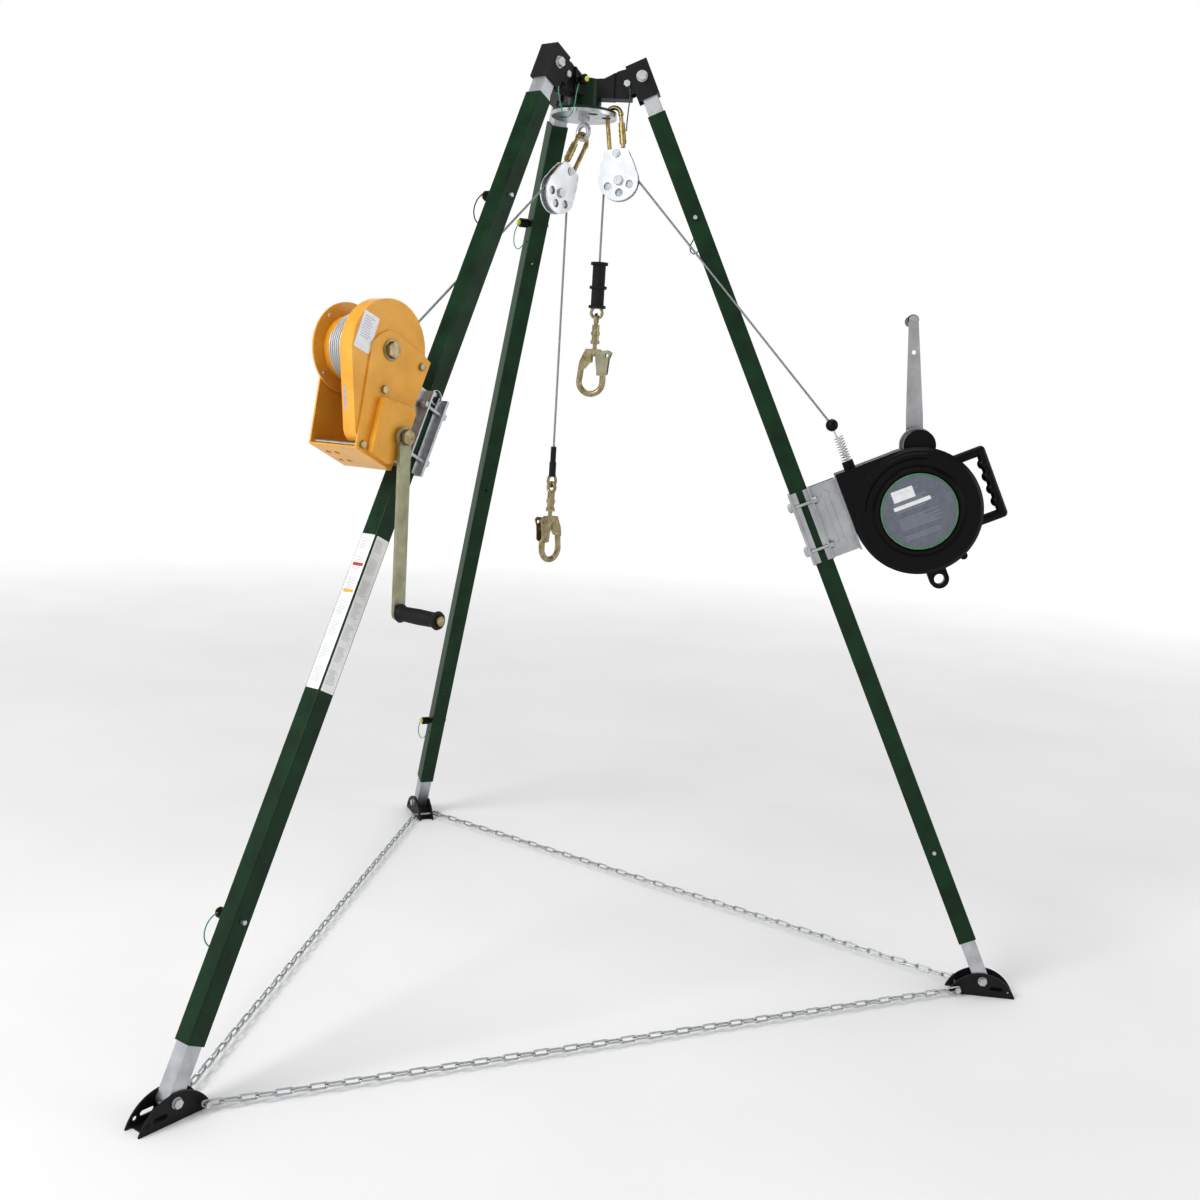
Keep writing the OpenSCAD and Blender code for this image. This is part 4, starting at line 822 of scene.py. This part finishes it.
# Cords, with black lanyards at the left leg's upper pin and at both of the right leg's pins
for piece in steelLines:
    piece.data.materials.append(wireRope)
for k, piece in enumerate(lanyardPieces):
    piece.data.materials.append(blackCord if k in (0, 2, 3) else greenCord)
for piece, mat in zip(headCordPieces, (greenCord, darkCord)):
    piece.data.materials.append(mat)
print("nodes finished")


# Foot chain: welded steel links, each run in stretches that follow the head, the leg's tubes and the foot
chain = {"wire": 0.00225, "inner": 0.0035, "bolt": 0.003, "boltGap": 0.00015, "linkGap": 0.00025, "links": 53,
         "boltOffset": 0.032, "roundSteps": 9, "sides": 8, "bead": 1.18, "cuts": (0, 13, 20, 25, 27)}


# One link about its own middle, with the weld swelling one straight side
def linkMesh(half):
    wire, sides, steps = chain["wire"], chain["sides"], chain["roundSteps"]
    reach, radius = half - chain["inner"], chain["inner"] + wire
    loop = []
    for centre, start in ((reach, -90), (-reach, 90)):
        for k in range(steps + 1):
            a = math.radians(start + 180 * k / steps)
            loop.append(Vector((centre + radius * math.cos(a), 0, radius * math.sin(a))))
    count = len(loop)
    side = Vector((0, 1, 0))
    verts = []
    for i, p in enumerate(loop):
        up = (loop[(i + 1) % count] - loop[i - 1]).normalized().cross(side)
        bead = chain["bead"] if i == count - 1 else 1.0
        for k in range(sides):
            a = 2 * math.pi * k / sides
            verts.append(p + wire * bead * (math.cos(a) * side + math.sin(a) * up))
    return verts, tubeFaces(count, sides, True)


def makeChain():
    tilt, height = math.radians(60), footBolts["chainHeight"]
    boltAt = tripod["footRadius"] + footBolts["chainOut"]
    halfRun = boltAt * math.sin(tilt) - chain["boltOffset"] * 0.5
    middle = boltAt * 0.5 + chain["boltOffset"] * math.sin(tilt)
    touch = (chain["bolt"] + chain["wire"] + chain["boltGap"]) / math.cos(math.radians(30))
    pitch = 2 * (halfRun + (touch - chain["wire"] - chain["linkGap"])) / chain["links"]
    ring, faces = linkMesh((pitch + 2 * chain["linkGap"]) / 2)
    for name, azimuth, lowLeg, highLeg in (("front", 270, "left", "right"), ("right", 30, "right", "back"),
                                           ("left", 150, "back", "left")):
        run = Matrix.Rotation(math.radians(azimuth), 4, "Z")
        for sign, leg, half in ((1, highLeg, "High"), (-1, lowLeg, "Low")):
            bodies = ("head", leg + "_top", leg + "_main", leg + "_low", leg + "_foot")
            for part in range(4):
                cuts = chain["cuts"][part:part + 2]
                verts, polys = [], []
                for k in range(*cuts):
                    if k == 0 and sign < 0:
                        continue
                    index = sign * k
                    place = (run @ Matrix.Translation((middle, index * pitch, height))
                             @ Matrix.Rotation(math.radians(90), 4, "Z")
                             @ Matrix.Rotation(index % 2 * math.pi / 2, 4, "X"))
                    base = len(verts)
                    verts += [place @ v for v in ring]
                    polys += [tuple(base + n for n in f) for f in faces]
                piece = meshPiece("chain" + name.capitalize() + half + str(part + 1), verts, polys)
                piece.data.materials.append(galvanisedSteel)
                start, end = (turned(azimuth, middle, max(cut - 0.5, 0) * sign * pitch, height)
                              for cut in cuts)
                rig.blend(piece, bodies[part], bodies[part + 1], start, end)
                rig.replaces(piece, "chain_" + name)


makeChain()
print("chain hung")


# A place by the winch's drum: to the side of the leg, off the axle and round it
def drumPoint(side, reach, angle):
    out, down = rigging["winchDrum"]
    return legMatrix["left"] @ Vector((out + reach * math.cos(angle), side, -down + reach * math.sin(angle)))


# Line wound on the drum, the same helix as the solid with its strands showing
def makeWinding():
    winding = {"turns": 10, "pitch": 0.0056, "start": 0.016, "steps": 240, "ropeRadius": 0.00245, "sides": 14}
    steps = winding["steps"]
    path = [drumPoint(winding["start"] - winding["pitch"] * i / steps, rigging["windingRadius"],
                      2 * math.pi * i / steps)
            for i in range(winding["turns"] * steps + 1)]
    piece = ropeMesh("winchWinding", path, winding["ropeRadius"], rigging["strands"], rigging["strandLay"],
                     winding["sides"])
    piece.data.materials.append(brightRope)
    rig.ride(piece, "winch_drum")
    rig.replaces(piece, "winch_winding")


makeWinding()


# Turned piece: a profile of (radius, distance) pairs spun about an axis, solid or looped to a ring
def latheMesh(name, origin, axis, profile, sides, body, mat, looped=False):
    side = axis.orthogonal().normalized()
    up = axis.cross(side)
    spokes = [math.cos(2 * math.pi * k / sides) * side + math.sin(2 * math.pi * k / sides) * up
              for k in range(sides)]
    verts = [origin + axis * h + r * spoke for r, h in profile for spoke in spokes]
    piece = meshPiece(name, verts, tubeFaces(len(profile), sides, looped), not looped)
    piece.data.materials.append(mat)
    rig.ride(piece, body)


leftSide = (legAxes["left"] @ Vector((0, 1, 0))).normalized()


# Spare locking pin kept in the left arm: collar, knob with a waist and a push button
def spareLockPin():
    pin = {"out": -0.071, "side": 0.0234, "down": -0.008, "knobSides": 36, "buttonSides": 30}
    knob = [(0.0085, 0.0), (0.0095, 0.0006), (0.0095, 0.0032), (0.0062, 0.0040), (0.0062, 0.0085),
            (0.0098, 0.0098), (0.0112, 0.0125), (0.0104, 0.0160), (0.0112, 0.0195), (0.0112, 0.0232),
            (0.0098, 0.0250), (0.0066, 0.0254)]
    button = [(0.0062, 0.0252), (0.0062, 0.0282), (0.0054, 0.0294), (0.0030, 0.0300)]
    origin = legPoint("left", pin["out"], pin["side"], pin["down"])
    latheMesh("sparePinKnob", origin, leftSide, knob, pin["knobSides"], "head", blackAbs)
    latheMesh("sparePinButton", origin, leftSide, button, pin["buttonSides"], "head", limeAbs)


spareLockPin()


# Rivets through the far flange of the drum, seen past the winding
def flangeRivets():
    rivet = {"reach": 0.079, "face": -0.062, "sunk": 0.0002, "count": 4, "first": 25, "sides": 24}
    head = [(0.0046, 0.0), (0.0046, 0.0008), (0.0040, 0.0020), (0.0024, 0.0029), (0.0008, 0.0032)]
    for k in range(rivet["count"]):
        a = math.radians(rivet["first"] + 360 * k / rivet["count"])
        place = drumPoint(rivet["face"] - rivet["sunk"], rivet["reach"], a)
        latheMesh("flangeRivet" + str(k + 1), place, leftSide, head, rivet["sides"], "winch_drum",
                  galvanisedSteel)


flangeRivets()


# Washer under the nut of the drum's axle, and the pin with its split ring at the top of the winch's clamp
def winchFittings():
    washer = {"plate": 0.060, "hole": 0.0123, "rim": 0.021, "chamfer": 0.0007, "low": 0.0002, "high": 0.0037,
              "sides": 64}
    pin = {"out": 0.016, "down": 0.8188, "lip": 0.02435, "sides": 32}
    ring = {"radius": 0.015, "wire": 0.0011, "turns": 1.9, "pitch": 0.0024, "steps": 60, "side": 0.0273,
            "gap": 0.0003, "drop": 0.002, "sides": 12}
    hole, rim, chamfer, low, high = (washer[k] for k in ("hole", "rim", "chamfer", "low", "high"))
    profile = [(rim - chamfer, low), (rim, low + chamfer), (rim, high - chamfer), (rim - chamfer, high),
               (hole, high), (hole, low)]
    latheMesh("drumWasher", drumPoint(washer["plate"], 0, 0), leftSide, profile, washer["sides"], "left_main",
              snapZinc, True)
    stem = [(0.0030, 0.0), (0.0030, 0.0088), (0.0052, 0.0090), (0.0052, 0.0106), (0.0042, 0.0114)]
    place = legMatrix["left"] @ Vector((pin["out"], pin["lip"], -pin["down"]))
    latheMesh("clampPin", place, leftSide, stem, pin["sides"], "left_main", galvanisedSteel)
    middle = pin["out"] - ring["radius"] + ring["wire"] + stem[0][0] + ring["gap"]
    path = []
    for i in range(round(ring["turns"] * ring["steps"]) + 1):
        a = 2 * math.pi * i / ring["steps"] + math.pi / 2
        spot = (middle + ring["radius"] * math.cos(a), ring["side"] + ring["pitch"] * i / ring["steps"],
                -pin["down"] - ring["drop"] + ring["radius"] * math.sin(a))
        path.append(legMatrix["left"] @ Vector(spot))
    piece = ropeMesh("clampSplitRing", path, ring["wire"], 1, 1.0, ring["sides"], 0.0)
    piece.data.materials.append(springSteel)
    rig.ride(piece, "left_main")


winchFittings()


# Thin stickers: a sheet of film a little off the surface, with softened corners
def sticker(name, corner, across, up, width, height, mat, body, radius=0.002):
    lifts, steps = (0.0003, 0.00006), 4
    normal = across.cross(up).normalized()
    outline = []
    for cx, cy, start in ((width - radius, height - radius, 0), (radius, height - radius, 90),
                          (radius, radius, 180), (width - radius, radius, 270)):
        for k in range(steps + 1):
            a = math.radians(start + 90 * k / steps)
            outline.append((cx + radius * math.cos(a), cy + radius * math.sin(a)))
    verts = [corner + across * x + up * y + normal * lift for lift in lifts for x, y in outline]
    uvs = [(x / width, y / height) for x, y in outline] * 2
    piece = meshPiece(name, verts, sheetFaces(len(outline)), False, uvs)
    piece.data.materials.append(mat)
    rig.ride(piece, body)


# Labels on two faces of the left leg, with a red and a yellow strip on the outer one
def legLabels():
    label = {"top": 1.136, "bottom": 1.466, "width": 0.036}
    strip = {"side": 0.014, "width": 0.028, "height": 0.006, "corner": 0.001, "over": 0.0003}
    half, up = tripod["tubeHalf"], legAxes["left"] @ Vector((0, 0, 1))
    ahead, back = legAxes["left"] @ Vector((0, 1, 0)), legAxes["left"] @ Vector((-1, 0, 0))
    for name, x, y, across in (("legLabelOuter", half, -label["width"] / 2, ahead),
                               ("legLabelSide", label["width"] / 2, half, back)):
        sticker(name, legMatrix["left"] @ Vector((x, y, -label["bottom"])), across, up, label["width"],
                label["bottom"] - label["top"], legVinyl, "left_main")
    for name, down, mat in (("legStripRed", 1.205, redVinyl), ("legStripYellow", 1.262, yellowVinyl)):
        sticker(name, legMatrix["left"] @ Vector((half + strip["over"], -strip["side"], -down)), ahead, up,
                strip["width"], strip["height"], mat, "left_main", strip["corner"])


legLabels()


def winchSticker():
    place = {"out": 0.259, "down": 0.809, "plate": 0.056, "turn": 4, "width": 0.042, "height": 0.074}
    a = math.radians(place["turn"])
    across, up = Vector((-math.cos(a), 0, math.sin(a))), Vector((math.sin(a), 0, math.cos(a)))
    middle = Vector((place["out"], place["plate"], -place["down"]))
    corner = middle - across * place["width"] / 2 - up * place["height"] / 2
    sticker("winchSticker", legMatrix["left"] @ corner, legAxes["left"] @ across, legAxes["left"] @ up,
            place["width"], place["height"], stickerVinyl, "left_main")


winchSticker()


# Narrow film strip down the sloping side of the gear cover
def coverStrip():
    strip = {"top": (0.2744, 0.8598), "bottom": (0.2010, 0.9843), "from": 0.77, "height": 0.046,
             "near": 0.028, "width": 0.006, "corner": 0.001}
    top, bottom = (Vector((strip[k][0], 0, -strip[k][1])) for k in ("top", "bottom"))
    corner = top.lerp(bottom, strip["from"])
    corner.y = strip["near"]
    across, up = legAxes["left"] @ Vector((0, 1, 0)), legAxes["left"] @ (top - bottom).normalized()
    sticker("coverStrip", legMatrix["left"] @ corner, across, up, strip["width"], strip["height"], lilacVinyl,
            "left_main", strip["corner"])


coverStrip()


# Round face of the retriever: printed film inside a green ring, with two bare pale patches
def retrieverFace():
    face = {"out": 0.236, "down": 1.138, "front": -0.096, "radius": 0.0855, "ringInner": 0.0825, "steps": 96,
            "lifts": (0.0003, 0.0001), "ringLow": 0.0002, "ringHigh": 0.0010, "innerSlope": 0.0008,
            "outerSlope": 0.0006, "patchLift": 0.0004, "patchCorner": 0.0015}
    patches = (("retrieverPatchTop", -0.046, 0.036, 0.050, 0.026),
               ("retrieverPatchBar", -0.052, 0.018, 0.086, 0.009))
    axes, steps = legAxes["right"], face["steps"]
    centre = legMatrix["right"] @ Vector((face["out"], face["front"], -face["down"]))
    across, up, out = axes @ Vector((1, 0, 0)), axes @ Vector((0, 0, 1)), axes @ Vector((0, -1, 0))
    circle = [(math.cos(2 * math.pi * k / steps), math.sin(2 * math.pi * k / steps)) for k in range(steps)]
    spokes = [x * across + y * up for x, y in circle]
    verts = [centre + face["ringInner"] * d + out * lift for lift in face["lifts"] for d in spokes]
    uvs = [(0.5 + 0.5 * x, 0.5 + 0.5 * y) for x, y in circle] * 2
    film = meshPiece("retrieverFilm", verts, sheetFaces(steps), False, uvs)
    film.data.materials.append(faceVinyl)
    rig.ride(film, "right_main")
    section = ((face["ringInner"], face["ringLow"]),
               (face["ringInner"] + face["innerSlope"], face["ringHigh"]),
               (face["radius"] - face["outerSlope"], face["ringHigh"]), (face["radius"], face["ringLow"]))
    verts = [centre + d * r + out * h for d in spokes for r, h in section]
    ring = meshPiece("retrieverRing", verts, tubeFaces(steps, len(section), True))
    ring.data.materials.append(greenEnamel)
    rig.ride(ring, "right_main")
    for name, x, y, width, height in patches:
        corner = centre + across * x + up * y + out * face["patchLift"]
        sticker(name, corner, across, up, width, height, bareVinyl, "right_main", face["patchCorner"])


retrieverFace()
print("stickers and face set")


# Pale studio: lit floor and wall, a dimmer ceiling and soft light
def makeStudio():
    studio = {"floorHalf": 60, "floorRough": 0.9, "floorDark": "#F4F4F4", "floorLight": "#F8F8F8",
              "floorGlow": 0.62, "glowFrom": 1.5, "glowTo": 8.0, "wall": 1.0, "wallBehind": 0.75,
              "wallFrom": -0.2, "wallTo": 0.3, "ceiling": 0.36, "ceilingFrom": 0.30, "ceilingTo": 0.55,
              "aim": 1.0}
    lights = ({"name": "keySoftbox", "place": (-4.5, -1.7, 3.9), "size": 2.4, "power": 170},
              {"name": "fillSoftbox", "place": (3.8, -2.8, 2.6), "size": 2.6, "power": 40},
              {"name": "topSoftbox", "place": (0.2, 0.4, 4.6), "size": 3.0, "power": 55})
    half = studio["floorHalf"]
    floor = meshPiece("studioFloor", [(-half, -half, 0), (half, -half, 0), (half, half, 0), (-half, half, 0)],
                      [(0, 1, 2, 3)], False)
    mat, place = newMaterial("paleFloor")
    cloud = addNode(mat, "ShaderNodeTexNoise", {"Scale": 1.5, "Detail": 2.0}, {"Vector": place["Object"]})
    tone = rampColour(mat, cloud.outputs["Fac"], [(0.3, studio["floorDark"]), (0.7, studio["floorLight"])])
    far = addNode(mat, "ShaderNodeVectorMath", {"operation": "LENGTH"}, {0: place["Object"]})
    reach = {"From Min": studio["glowFrom"], "From Max": studio["glowTo"], "To Max": studio["floorGlow"]}
    glow = addNode(mat, "ShaderNodeMapRange", reach, {"Value": far.outputs["Value"]})
    surfaced(mat, {"Roughness": studio["floorRough"]},
             {"Base Color": tone, "Emission Color": tone, "Emission Strength": glow.outputs["Result"]})
    floor.data.materials.append(mat)
    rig.stage(floor)
    world = bpy.data.worlds.new("studioWorld")
    world.use_nodes = True
    ahead = addNode(world, "ShaderNodeTexCoord").outputs["Generated"]
    rise = addNode(world, "ShaderNodeSeparateXYZ", {}, {"Vector": ahead}).outputs
    turn = {"From Min": studio["wallFrom"], "From Max": studio["wallTo"],
            "To Min": studio["wallBehind"], "To Max": studio["wall"]}
    wall = addNode(world, "ShaderNodeMapRange", turn, {"Value": rise["Y"]})
    dim = {"From Min": studio["ceilingFrom"], "From Max": studio["ceilingTo"], "To Max": studio["ceiling"]}
    fade = addNode(world, "ShaderNodeMapRange", dim, {"Value": rise["Z"], "To Min": wall.outputs["Result"]})
    background = world.node_tree.nodes["Background"]
    background.inputs["Color"].default_value = (1, 1, 1, 1)
    world.node_tree.links.new(fade.outputs["Result"], background.inputs["Strength"])
    scene.world = world
    for lamp in lights:
        light = bpy.data.lights.new(lamp["name"], "AREA")
        light.size, light.energy = lamp["size"], lamp["power"]
        obj = bpy.data.objects.new(lamp["name"], light)
        obj.location = lamp["place"]
        aim = Vector((0, 0, studio["aim"])) - Vector(lamp["place"])
        obj.rotation_euler = aim.to_track_quat("-Z", "Y").to_euler()
        scene.collection.objects.link(obj)


makeStudio()
scene.view_settings.view_transform = "Standard"
scene.view_settings.gamma = 0.82  # the photo has deep blacks on white
print("studio lit")

with open("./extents.json", "w") as out:
    json.dump({"cad": [list(v) for v in cadBox], "visual": [list(v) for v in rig.bounds()]}, out)
